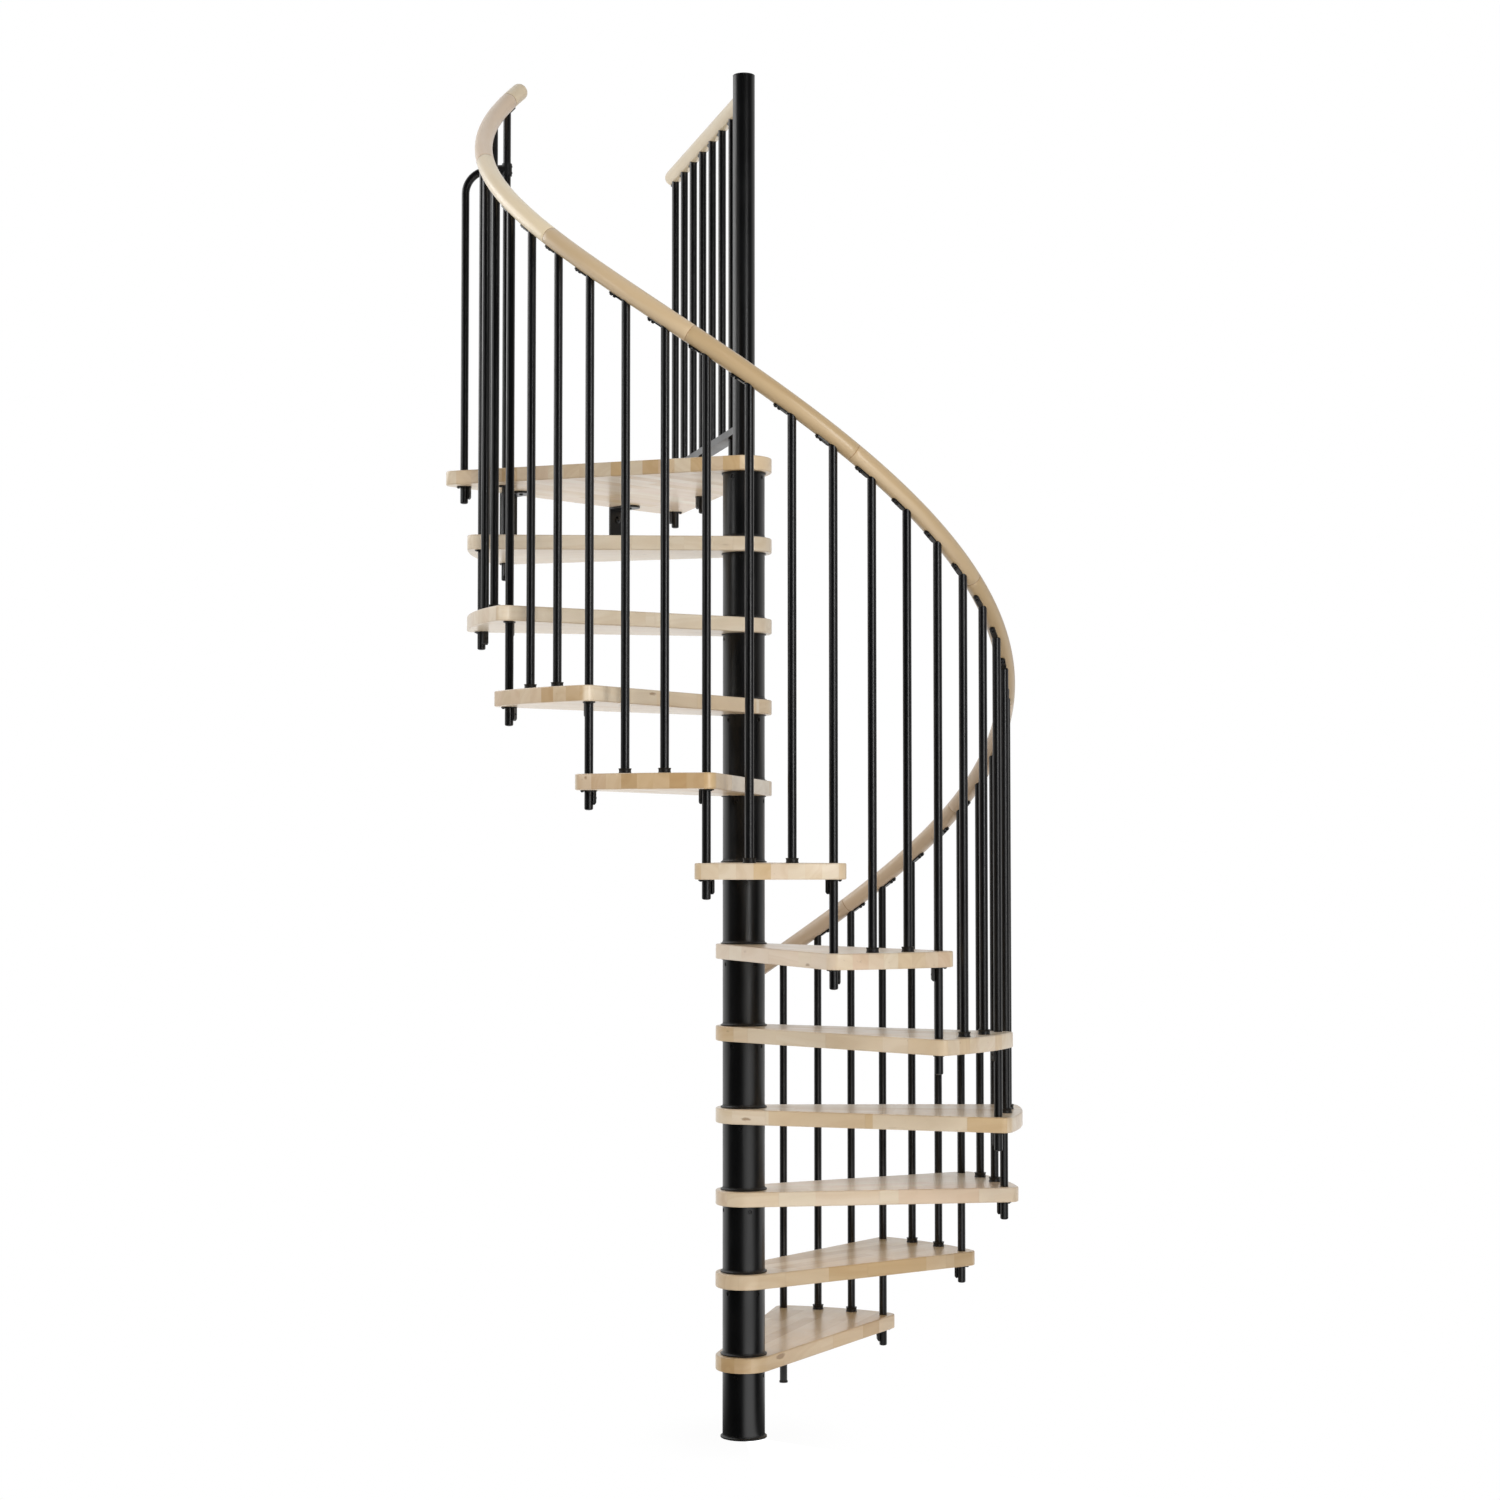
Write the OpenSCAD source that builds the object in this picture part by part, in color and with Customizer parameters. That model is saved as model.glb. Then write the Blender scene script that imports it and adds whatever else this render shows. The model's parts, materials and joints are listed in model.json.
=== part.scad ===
// Spiral stair kit: wooden treads stacked on a steel pole, steel balusters and a helical wooden handrail.
// Millimetres, Z up. The origin is on the floor at the pole's axis. The landing lies towards +Y.
// The stair climbs clockwise seen from above. Balusters are counted up the stair from the start post, number 0.

/* [Stair] */
// Treads below the landing
tread_count = 11; // [6:1:12]
// Rise from one tread to the next
riser = 220; // [200:1:240]
// Turn from one tread to the next, in degrees
step_angle = 25.4; // [23:0.1:28]
// Balusters for each step
per_step = 3; // [2:1:4]
// Radial play between a round piece and its hole
fit = 0.3; // [0.1:0.1:0.5]

/* [Column] */
// Outside diameter of the pole
pole_d = 60.3; // [50:0.1:76.1]
// Wall of the pole
pole_wall = 4; // [2:0.5:8]
// Height of the pole above the landing
pole_rise = 1059; // [1040:1:1200]
// Thickness of the lid on the pole
cap_t = 3; // [2:0.5:8]
// Length of the plug that holds the lid
cap_plug = 25; // [10:1:60]
// Outside diameter of the spacer tubes
spacer_d = 114.3; // [110:0.1:125]
// Wall of the spacer tubes
spacer_wall = 3; // [2:0.5:4]
// Height of the ring under a spacer
ring_h = 10; // [9:0.5:16]
// Reach of the ring's lip past the spacer
ring_lip = 5.4; // [3:0.1:6]
// Height of the lip's straight edge
ring_edge = 3; // [1:0.5:3.5]
// Height of the bush inside a spacer's top
bush_h = 26; // [24:1:40]
// Thickness of the bush's rim between a spacer and the tread on it
rim_t = 2.5; // [2:0.5:4]
// Reach of the rim past the spacer
rim_reach = 3.5; // [2:0.1:5]
// Screw holes round a spacer's top
hole_count = 4; // [2:1:6]
// Diameter of a screw hole
hole_d = 11; // [6:0.5:14]
// Centre of a screw hole below the rim
hole_drop = 12; // [9:0.5:14]

/* [Base] */
// Diameter of the base flange, hidden inside the foot ring
flange_d = 103; // [98:0.5:103.5]
// Thickness of the base flange
flange_t = 8; // [6:0.5:9]
// Height of the spigot inside the pole
spigot_h = 60; // [30:1:120]
// Number of anchor holes
anchor_count = 4; // [3:1:8]
// Diameter of an anchor hole
anchor_d = 11; // [9:0.5:12]
// Diameter of the anchor circle
anchor_circle = 83; // [82:0.5:84]

/* [Treads] */
// Thickness of the treads and the landing
tread_t = 40; // [30:1:50]
// Radius of the treads' outer arc
tread_r = 749; // [650:1:850]
// Radius of the round hub of a tread
hub_r = 76; // [70:0.5:90]
// Radius of a tread's outer corners
corner_r = 27; // [15:1:40]
// Baluster circle in from the outer arc
post_inset = 39; // [32:1:60]
// Corner post in from the tread's side
post_margin = 28; // [24:1:40]

/* [Balusters] */
// Diameter of the balusters
baluster_d = 22; // [16:0.5:25]
// Length of a post below the tread that it passes through
post_tail = 45; // [40:1:70]
// Wall of the cup at a baluster's foot
foot_wall = 5.2; // [3:0.1:8]
// Height of the cup
foot_h = 12.5; // [8:0.5:20]
// Depth of the cup's waist
foot_waist = 1.5; // [0.5:0.1:2]
// Length of a clip's flange under a tread
clip_l = 42; // [40:1:60]
// Width of the flange
clip_w = 28; // [27:1:36]
// Thickness of the flange
clip_t = 3; // [2:0.5:5]
// Clip's tongue turned in from the line of the balusters, in degrees
clip_angle = 40; // [0:1:60]
// Thickness of the clip's tongue beside the post
tongue_t = 7; // [4:0.5:9]
// Height of the tongue below the tread
tongue_h = 36; // [20:1:40]
// Width of the tongue
tongue_w = 18; // [12:1:22]

/* [Handrail] */
// Diameter of the handrail
rail_d = 48; // [40:1:52]
// Handrail's centre above the line of the tread noses
rail_height = 1052; // [900:1:1100]
// Handrail before the first post, in degrees of turn
rail_start_angle = 9.3; // [6:0.1:12]
// Handrail past the last post, in degrees of turn
rail_end_angle = 7; // [5:0.1:12]
// First joint after the start post, in degrees of turn
first_joint_angle = 16.1; // [12:0.1:25]
// Handrail piece from joint to joint, in degrees of turn
rail_piece_angle = 33; // [25:0.5:40]
// Radius of the rounded rail ends
rail_round = 14; // [5:1:17]
// Length of a rail bracket up the rail from its baluster
bracket_reach = 38; // [35:1:60]
// Width of a rail bracket
bracket_w = 15; // [10:1:20]
// Thickness of a rail bracket
bracket_t = 3.5; // [2:0.5:5]
// Gap between the round rail and what it lies on
seat_gap = 0.2; // [0.1:0.1:0.5]

/* [Landing] */
// Half of the angle between the landing's sides
landing_half_angle = 26.3; // [25:0.1:32]
// Radius of the landing's outer corners
landing_corner_r = 25; // [10:1:40]
// Last post of the stair from the landing's middle line, in degrees
last_post_angle = 26.7; // [24:0.1:28]

/* [Landing railing] */
// Railing from the landing's middle line, in degrees
railing_angle = 29.3; // [26:0.1:30]
// Pole's axis to the first baluster of the railing
railing_first = 124; // [115:1:140]
// Last baluster of the railing in from the landing's outer edge
railing_inset = 60; // [40:1:80]
// Number of balusters in the railing
railing_count = 7; // [4:3:7]
// Every so many of them is a post through the landing
railing_post_every = 3; // [1:1:3]
// Centre of the top rail above the landing
railing_height = 994; // [900:1:1010]
// Top rail past the last baluster
railing_overhang = 50; // [30:1:80]
// Width of the bottom bar
bar_w = 40; // [30:1:50]
// Height of the bottom bar
bar_h = 20; // [15:1:30]
// Wall of the bottom bar
bar_wall = 2; // [1.5:0.5:4]
// Landing to the bottom bar
bar_gap = 74; // [60:1:100]
// Bottom bar past the last baluster
bar_overhang = 24; // [20:1:40]

/* [End hoop] */
// Hoop leg from the last post of the stair
hoop_reach = 119.6; // [110:0.1:130]
// Hoop arm from the landing's middle line, in degrees
hoop_angle = 38.3; // [30:0.1:45]
// Hoop leg in from the landing's outer edge
hoop_inset = 32; // [25:1:60]
// Hoop arm below the handrail at the last post
hoop_drop = 192; // [150:1:400]
// Bend radius of the hoop's centre line
hoop_bend = 65; // [45:1:70]
// Wall of the clamp's ring on the last post
clamp_wall = 3; // [2:0.5:6]
// Wall of the clamp's socket for the arm
socket_wall = 3.3; // [2:0.1:5]
// Height of the clamp's ring
clamp_h = 34; // [32:1:45]
// Reach of the clamp's socket from the post's axis
clamp_reach = 40; // [32:1:48]

/* [Landing brackets] */
// Distance between the two brackets
hanger_spread = 418; // [300:1:460]
// Width of a bracket
hanger_w = 60; // [50:1:80]
// Thickness of a bracket
hanger_t = 6; // [4:0.5:10]
// Length of the leg under the landing
hanger_leg = 90; // [70:1:120]
// Length of the leg that hangs down
hanger_drop = 120; // [100:1:160]
// Diameter of the wall bolt holes
bolt_d = 11; // [9:0.5:14]
// Distance between the two bolt holes of a bracket
bolt_pitch = 60; // [50:1:70]
// Upper bolt hole below the landing
bolt_top = 36; // [25:1:40]
// Diameter of the screw hole in the leg under the landing
screw_d = 6; // [4:0.5:8]

/* [Hidden] */
$fn = 64;
past = 1;
steel = "#222326";
plastic = "#18191b";
wood = "#dcc8a6";
rail_wood = "#dfc9a2";

landing_z = riser * (tread_count + 1);
pole_top = landing_z + pole_rise;
pole_bore_r = pole_d / 2 + fit;
post_r = tread_r - post_inset;
post_hole_r = baluster_d / 2 + fit;
post_count = tread_count * per_step;
post_turn = step_angle / per_step;
post_rise = riser / per_step;
tread_half_angle = step_angle / 2 - asin((hub_r - post_margin) / post_r);
ring_seat_r = spacer_d / 2;
spacer_h = riser - tread_t - rim_t - ring_h;
foot_bore_r = flange_d / 2 + fit;

// Straight sides and the outer arc lie this far inside the circles that they run into
ease = 0.05;

rail_slope = atan(post_rise / (post_r * post_turn * PI / 180));
rail_sides = 20;
rail_facet = 2.6;
dome_steps = 4;
round_turn = rail_round * cos(rail_slope) / post_r * 180 / PI;
rail_end = post_count * post_turn + rail_end_angle;
last_joint = rail_end - 2 * round_turn;
rail_joints = [for (t = first_joint_angle; t < last_joint; t = t + rail_piece_angle) t];
rail_cuts = concat([-rail_start_angle], rail_joints, [rail_end]);
rail_piece_count = len(rail_cuts) - 1;
seat_drop = rail_d / 2 + seat_gap + bracket_t;

function two(n) = n < 10 ? str("0", n) : str(n);
function post_angle(k) = 90 + last_post_angle + (post_count - k) * post_turn;
function tread_angle(n) = post_angle((n - 0.5) * per_step);
function rail_z(k) = riser + rail_height + k * post_rise;
function polar(r, a) = [r * cos(a), r * sin(a)];
function flip(p) = [p.x, -p.y];
function is_railing_post(i) = i % railing_post_every == 0;

last_post = polar(post_r, post_angle(post_count));
hoop_leg = last_post + polar(hoop_reach, 90 + hoop_angle);
hoop_z = rail_z(post_count) - hoop_drop;
landing_depth = hoop_leg.y + hoop_inset;
railing_z = landing_z + railing_height;
railing_last = (landing_depth - railing_inset) / cos(railing_angle);
railing_pitch = (railing_last - railing_first) / (railing_count - 1);

// A point beside a straight side of a wedge: along the side from the hub, and out from the axis
function side_point(half_angle, along, out) =
    along * [cos(half_angle), sin(half_angle)] + out * [-sin(half_angle), cos(half_angle)];

// Where things go

module at_post(k) {
    translate(polar(post_r, post_angle(k)))
        rotate([0, 0, post_angle(k) - 90])
            children();
}

// X runs up the rail, Y points away from the pole, Z is square to the rail
module at_rail(k) {
    translate([0, 0, rail_z(k)])
        at_post(k)
            rotate([0, -rail_slope, 0])
                children();
}

module at_railing(s) {
    rotate([0, 0, 90 - railing_angle])
        translate([s, 0, 0])
            children();
}

module at_hoop_leg() {
    translate(hoop_leg)
        rotate([0, 0, hoop_angle - 90])
            children();
}

// Shared shapes

module tube(outer_r, inner_r, h) {
    difference() {
        cylinder(r = outer_r, h = h);
        translate([0, 0, -past])
            cylinder(r = inner_r, h = h + 2 * past);
    }
}

// Flat strip with round ends, from the origin along X
module strip(reach, width) {
    circle(d = width);
    translate([0, -width / 2])
        square([reach - width / 2, width]);
    translate([reach - width / 2, 0])
        circle(d = width);
}

// Ring under a spacer, with its lip at the bottom and a hollow flare up to the tube
module lip_ring(bore_r) {
    lip_r = ring_seat_r + ring_lip;
    rotate_extrude()
        difference() {
            translate([bore_r, 0])
                square([lip_r - bore_r, ring_h]);
            translate([lip_r, ring_edge + ring_lip])
                circle(r = ring_lip);
            translate([ring_seat_r, ring_edge + ring_lip])
                square([ring_lip + past, ring_h]);
        }
}

// Plan of a tread about +X: a round hub, two sides tangent to it, and an outer arc with rounded corners
module tread_outline() {
    reach = sqrt(pow(tread_r - corner_r, 2) - pow(hub_r - corner_r, 2));
    hub_side = side_point(tread_half_angle, 0, hub_r - ease);
    arc_side = side_point(tread_half_angle, reach, hub_r - ease);
    corner = side_point(tread_half_angle, reach, hub_r - corner_r);
    corner_angle = atan2(corner.y, corner.x);
    circle(r = hub_r);
    polygon([flip(hub_side), flip(arc_side), flip(corner), corner, arc_side, hub_side]);
    for (c = [corner, flip(corner)])
        translate(c)
            circle(r = corner_r);
    intersection() {
        circle(r = tread_r - ease);
        polygon([[0, 0], polar(2 * tread_r, -corner_angle), polar(2 * tread_r, corner_angle)]);
    }
}

// Plan of the landing about +X: as a tread, with a straight outer edge
module landing_outline() {
    r = landing_corner_r;
    a = landing_half_angle;
    reach = (landing_depth - r + (hub_r - r) * sin(a)) / cos(a);
    hub_side = side_point(a, 0, hub_r - ease);
    far_side = side_point(a, reach, hub_r - ease);
    corner = side_point(a, reach, hub_r - r);
    edge = [landing_depth - ease, corner.y];
    circle(r = hub_r);
    polygon([flip(hub_side), flip(far_side), flip(corner), flip(edge), edge, corner, far_side, hub_side]);
    for (c = [corner, flip(corner)])
        translate(c)
            circle(r = r);
}

// Room for the round rail, along X
module rail_saddle() {
    rotate([0, 90, 0])
        cylinder(r = rail_d / 2 + seat_gap, h = 4 * rail_d, center = true);
}

// Upright rod whose top is hollowed to the handrail
module rail_baluster(k, foot_z) {
    difference() {
        at_post(k)
            translate([0, 0, foot_z])
                cylinder(d = baluster_d, h = rail_z(k) - foot_z);
        at_rail(k)
            rail_saddle();
    }
}

// Cup round a baluster's foot, drawn in at the middle
module foot_cup() {
    cup_r = post_hole_r + foot_wall;
    waist_r = (pow(foot_h / 2, 2) + pow(foot_waist, 2)) / (2 * foot_waist);
    rotate_extrude()
        difference() {
            translate([post_hole_r, 0])
                square([foot_wall, foot_h]);
            translate([cup_r - foot_waist + waist_r, foot_h / 2])
                circle(r = waist_r, $fn = 180);
        }
}

// Clip that holds a post under a tread: a flange against the wood and a tongue along the post, towards +X
module post_clip() {
    translate([0, 0, -clip_t])
        linear_extrude(clip_t)
            difference() {
                translate([-(clip_l - clip_w) / 2, 0])
                    strip(clip_l - clip_w / 2, clip_w);
                circle(r = post_hole_r);
            }
    translate([post_hole_r, tongue_w / 2, 0])
        rotate([90, 0, 0])
            linear_extrude(tongue_w) {
                translate([0, -tongue_h])
                    square([tongue_t / 2, tongue_h - clip_t]);
                translate([0, tongue_t - tongue_h])
                    square([tongue_t, tongue_h - tongue_t - clip_t]);
                intersection() {
                    translate([0, tongue_t - tongue_h])
                        circle(r = tongue_t);
                    translate([0, -tongue_h])
                        square([tongue_t, tongue_t]);
                }
            }
}

// Flat strip under the rail that runs on from a baluster, to be screwed to the wood
module rail_tab(slope) {
    difference() {
        rotate([0, -slope, 0])
            translate([0, 0, -seat_drop])
                linear_extrude(bracket_t)
                    strip(bracket_reach, bracket_w);
        cylinder(r = post_hole_r, h = 4 * rail_d, center = true);
    }
}

// Sweep of the handrail

// Points of the rail's round section, square to its slope, at a turn from the start post
function rail_section(turn, r) =
    let (k = turn / post_turn, a = post_angle(k))
    let (out = [cos(a), sin(a), 0])
    let (up = [-sin(rail_slope) * sin(a), sin(rail_slope) * cos(a), cos(rail_slope)])
    let (centre = [post_r * cos(a), post_r * sin(a), rail_z(k)])
    [for (i = [0 : rail_sides - 1])
        let (f = 360 * i / rail_sides)
        centre + r * (cos(f) * out + sin(f) * up)];

// Stations of the rounded end: turn past the straight rail, and radius there
function dome_stations(turn, way) =
    [for (j = [1 : dome_steps])
        let (f = 90 * j / dome_steps)
        [turn + way * round_turn * sin(f), rail_d / 2 - rail_round * (1 - cos(f))]];

function rail_stations(i) =
    let (first = i == 0, last = i == rail_piece_count - 1)
    let (t0 = rail_cuts[i] + (first ? round_turn : 0))
    let (t1 = rail_cuts[i + 1] - (last ? round_turn : 0))
    let (n = ceil((t1 - t0) / rail_facet), start_dome = dome_stations(t0, -1))
    concat(
        first ? [for (j = [dome_steps - 1 : -1 : 0]) start_dome[j]] : [],
        [for (j = [0 : n]) [t0 + (t1 - t0) * j / n, rail_d / 2]],
        last ? dome_stations(t1, 1) : []
    );

module rail_piece(i) {
    stations = rail_stations(i);
    m = rail_sides;
    top = len(stations) - 1;
    points = [for (s = stations) each rail_section(s[0], s[1])];
    start_cap = [for (j = [0 : m - 1]) j];
    end_cap = [for (j = [m - 1 : -1 : 0]) top * m + j];
    sides = [for (s = [0 : top - 1], j = [0 : m - 1])
        let (a = s * m + j, b = s * m + (j + 1) % m)
        each [[a, a + m, b + m], [a, b + m, b]]];
    polyhedron(points, concat([start_cap, end_cap], sides));
}

// Column

module base_plate() {
    color(steel)
        difference() {
            union() {
                cylinder(d = flange_d, h = flange_t);
                cylinder(r = pole_d / 2 - pole_wall - fit, h = flange_t + spigot_h);
            }
            for (i = [0 : anchor_count - 1])
                rotate([0, 0, 45 + i * 360 / anchor_count])
                    translate([anchor_circle / 2, 0, -past])
                        cylinder(d = anchor_d, h = flange_t + 2 * past);
        }
}

module center_pole() {
    color(steel)
        translate([0, 0, flange_t])
            tube(pole_d / 2, pole_d / 2 - pole_wall, pole_top - cap_t - flange_t);
}

module pole_cap() {
    color(plastic)
        translate([0, 0, pole_top - cap_t]) {
            cylinder(d = pole_d, h = cap_t);
            translate([0, 0, -cap_plug])
                cylinder(r = pole_d / 2 - pole_wall - fit, h = cap_plug);
        }
}

module foot_ring() {
    color(plastic)
        lip_ring(foot_bore_r);
}

module spacer_tubes() {
    color(steel)
        for (n = [0 : tread_count])
            translate([0, 0, n * riser + ring_h])
                rotate([0, 0, tread_angle(n + 1)])
                    difference() {
                        tube(ring_seat_r, ring_seat_r - spacer_wall, spacer_h);
                        for (i = [0 : hole_count - 1])
                            rotate([0, 0, i * 360 / hole_count])
                                translate([0, 0, spacer_h - hole_drop])
                                    rotate([0, 90, 0])
                                        cylinder(d = hole_d, h = spacer_d);
                    }
}

module spacer_rings() {
    color(plastic)
        for (n = [1 : tread_count])
            translate([0, 0, n * riser])
                lip_ring(pole_bore_r);
}

// Bushes that centre the spacers on the pole, each with a rim that carries the tread
module spacer_bushes() {
    body_r = ring_seat_r - spacer_wall - fit;
    color(plastic)
        for (n = [1 : tread_count + 1])
            translate([0, 0, n * riser - tread_t - rim_t])
                difference() {
                    union() {
                        translate([0, 0, -bush_h])
                            cylinder(r = body_r, h = bush_h + rim_t);
                        cylinder(r = ring_seat_r + rim_reach, h = rim_t);
                    }
                    translate([0, 0, -bush_h - past])
                        cylinder(r = pole_bore_r, h = bush_h + rim_t + 2 * past);
                }
}

// Treads and landing

module tread(n) {
    color(wood)
        translate([0, 0, n * riser - tread_t])
            rotate([0, 0, tread_angle(n)])
                linear_extrude(tread_t)
                    difference() {
                        tread_outline();
                        circle(r = pole_bore_r);
                        for (side = [-1, 1])
                            translate(polar(post_r, side * step_angle / 2))
                                circle(r = post_hole_r);
                    }
}

module landing() {
    color(wood)
        translate([0, 0, landing_z - tread_t])
            linear_extrude(tread_t)
                difference() {
                    rotate(90)
                        landing_outline();
                    circle(r = pole_bore_r);
                    translate(last_post)
                        circle(r = post_hole_r);
                    translate(hoop_leg)
                        circle(r = post_hole_r);
                    for (i = [0 : railing_post_every : railing_count - 1])
                        at_railing(railing_first + i * railing_pitch)
                            circle(r = post_hole_r);
                }
}

// Balusters of the stair

module start_post() {
    color(steel)
        rail_baluster(0, 0);
}

module long_balusters() {
    color(steel)
        for (n = [1 : tread_count])
            rail_baluster(n * per_step, n * riser - tread_t - post_tail);
}

module short_balusters() {
    color(steel)
        for (n = [1 : tread_count], i = [1 : per_step - 1])
            rail_baluster((n - 1) * per_step + i, n * riser);
}

module baluster_feet() {
    color(plastic)
        for (n = [1 : tread_count], i = [1 : per_step - 1])
            translate([0, 0, n * riser])
                at_post((n - 1) * per_step + i)
                    foot_cup();
}

module post_clips() {
    color(plastic) {
        for (n = [1 : tread_count + 1])
            translate([0, 0, n * riser - tread_t])
                at_post((n - 1) * per_step)
                    rotate([0, 0, -clip_angle])
                        post_clip();
        for (n = [1 : tread_count])
            translate([0, 0, n * riser - tread_t])
                at_post(n * per_step)
                    rotate([0, 0, 180 + clip_angle])
                        post_clip();
        translate([0, 0, landing_z - tread_t]) {
            for (i = [0 : railing_post_every : railing_count - 1])
                at_railing(railing_first + i * railing_pitch)
                    rotate([0, 0, 90])
                        post_clip();
            at_hoop_leg()
                post_clip();
        }
    }
}

module rail_brackets() {
    color(steel) {
        for (k = [0 : post_count])
            translate([0, 0, rail_z(k)])
                at_post(k)
                    rail_tab(rail_slope);
        translate([0, 0, railing_z])
            for (i = [0 : railing_count - 1])
                at_railing(railing_first + i * railing_pitch)
                    rail_tab(0);
    }
}

module handrail(i) {
    color(rail_wood)
        rail_piece(i);
}

// Railing of the landing

module landing_handrail() {
    rail_r = rail_d / 2;
    length = railing_last + railing_overhang;
    color(rail_wood)
        difference() {
            translate([0, 0, railing_z])
                at_railing(0)
                    rotate([0, 90, 0])
                        rotate_extrude() {
                            square([rail_r, length - rail_round]);
                            square([rail_r - rail_round, length]);
                            intersection() {
                                translate([rail_r - rail_round, length - rail_round])
                                    circle(r = rail_round);
                                square([rail_r, length]);
                            }
                        }
            cylinder(r = pole_bore_r, h = 2 * pole_top);
        }
}

module landing_bottom_bar() {
    length = railing_last + bar_overhang;
    color(steel)
        difference() {
            translate([0, 0, landing_z + bar_gap])
                at_railing(0)
                    difference() {
                        translate([0, -bar_w / 2, 0])
                            cube([length, bar_w, bar_h]);
                        translate([-past, bar_wall - bar_w / 2, bar_wall])
                            cube([length - bar_wall + past, bar_w - 2 * bar_wall, bar_h - 2 * bar_wall]);
                        for (i = [0 : railing_post_every : railing_count - 1])
                            translate([railing_first + i * railing_pitch, 0, -past])
                                cylinder(r = post_hole_r, h = bar_h + 2 * past);
                    }
            cylinder(r = pole_bore_r, h = 2 * pole_top);
        }
}

module landing_balusters() {
    color(steel)
        for (i = [0 : railing_count - 1]) {
            foot = is_railing_post(i) ? landing_z - tread_t - post_tail : landing_z + bar_gap + bar_h;
            at_railing(railing_first + i * railing_pitch)
                difference() {
                    translate([0, 0, foot])
                        cylinder(d = baluster_d, h = railing_z - foot);
                    translate([0, 0, railing_z])
                        rail_saddle();
                }
        }
}

// Bent tube that closes the gap between the last post and the landing's corner
module end_hoop() {
    foot = landing_z - tread_t - post_tail;
    tube_r = baluster_d / 2;
    arm_end = hoop_reach - post_hole_r - clamp_wall;
    color(steel)
        at_hoop_leg() {
            translate([0, 0, foot])
                cylinder(r = tube_r, h = hoop_z - hoop_bend - foot);
            translate([hoop_bend, 0, hoop_z - hoop_bend])
                rotate([90, 0, 0])
                    rotate([0, 0, 90])
                        rotate_extrude(angle = 90)
                            translate([hoop_bend, 0])
                                circle(r = tube_r);
            translate([hoop_bend, 0, hoop_z])
                rotate([0, 90, 0])
                    cylinder(r = tube_r, h = arm_end - hoop_bend);
        }
}

// Ring on the last post with a socket for the hoop's arm
module hoop_clamp() {
    ring_r = post_hole_r + clamp_wall;
    socket_depth = clamp_reach - ring_r;
    color(plastic)
        translate([0, 0, hoop_z])
            at_hoop_leg()
                difference() {
                    union() {
                        translate([hoop_reach, 0, -clamp_h / 2])
                            cylinder(r = ring_r, h = clamp_h);
                        translate([hoop_reach - clamp_reach, 0, 0])
                            rotate([0, 90, 0])
                                cylinder(r = post_hole_r + socket_wall, h = clamp_reach);
                    }
                    translate([hoop_reach, 0, -clamp_h])
                        cylinder(r = post_hole_r, h = 2 * clamp_h);
                    translate([hoop_reach - clamp_reach - past, 0, 0])
                        rotate([0, 90, 0])
                            cylinder(r = post_hole_r, h = socket_depth + past);
                }
}

module landing_brackets() {
    under = landing_z - tread_t;
    color(steel)
        for (side = [-1, 1])
            translate([side * hanger_spread / 2, landing_depth, under])
                difference() {
                    union() {
                        translate([0, 0, -hanger_t])
                            linear_extrude(hanger_t)
                                translate([0, -hanger_leg]) {
                                    translate([-hanger_w / 2, hanger_w / 2])
                                        square([hanger_w, hanger_leg - hanger_w / 2]);
                                    translate([0, hanger_w / 2])
                                        circle(d = hanger_w);
                                }
                        translate([-hanger_w / 2, -hanger_t, -hanger_drop])
                            cube([hanger_w, hanger_t, hanger_drop]);
                    }
                    for (z = [bolt_top, bolt_top + bolt_pitch])
                        translate([0, past, -z])
                            rotate([90, 0, 0])
                                cylinder(d = bolt_d, h = hanger_t + 2 * past);
                    translate([0, hanger_w / 2 - hanger_leg, -hanger_t - past])
                        cylinder(d = screw_d, h = hanger_t + 2 * past);
                }
}

tread_nodes = [for (n = [1 : tread_count]) str("tread_", two(n))];
rail_nodes = [for (i = [1 : rail_piece_count]) str("handrail_", two(i))];

base_plate();
foot_ring();
center_pole();
pole_cap();
spacer_tubes();
spacer_rings();
spacer_bushes();
for (n = [1 : tread_count])
    tread(n);
landing();
start_post();
long_balusters();
short_balusters();
baluster_feet();
post_clips();
rail_brackets();
for (i = [0 : rail_piece_count - 1])
    handrail(i);
landing_handrail();
landing_bottom_bar();
landing_balusters();
end_hoop();
hoop_clamp();
landing_brackets();
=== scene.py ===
# %% [markdown]
# # A spiral stair, dressed for a studio photograph
# The imported model holds the stair's solids: a pole with spacers, wedge treads, balusters and a helical rail.
# This lesson loads them as a fixed frame and adds what a solid model leaves out: rounded and glued boards,
# a smooth turned rail, screws, plugs and finishes. The frame comes first, because every later piece is
# placed on it.

# %% Load the frame
import json
import math

import bmesh
import bpy
from mathutils import Matrix, Vector


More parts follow.
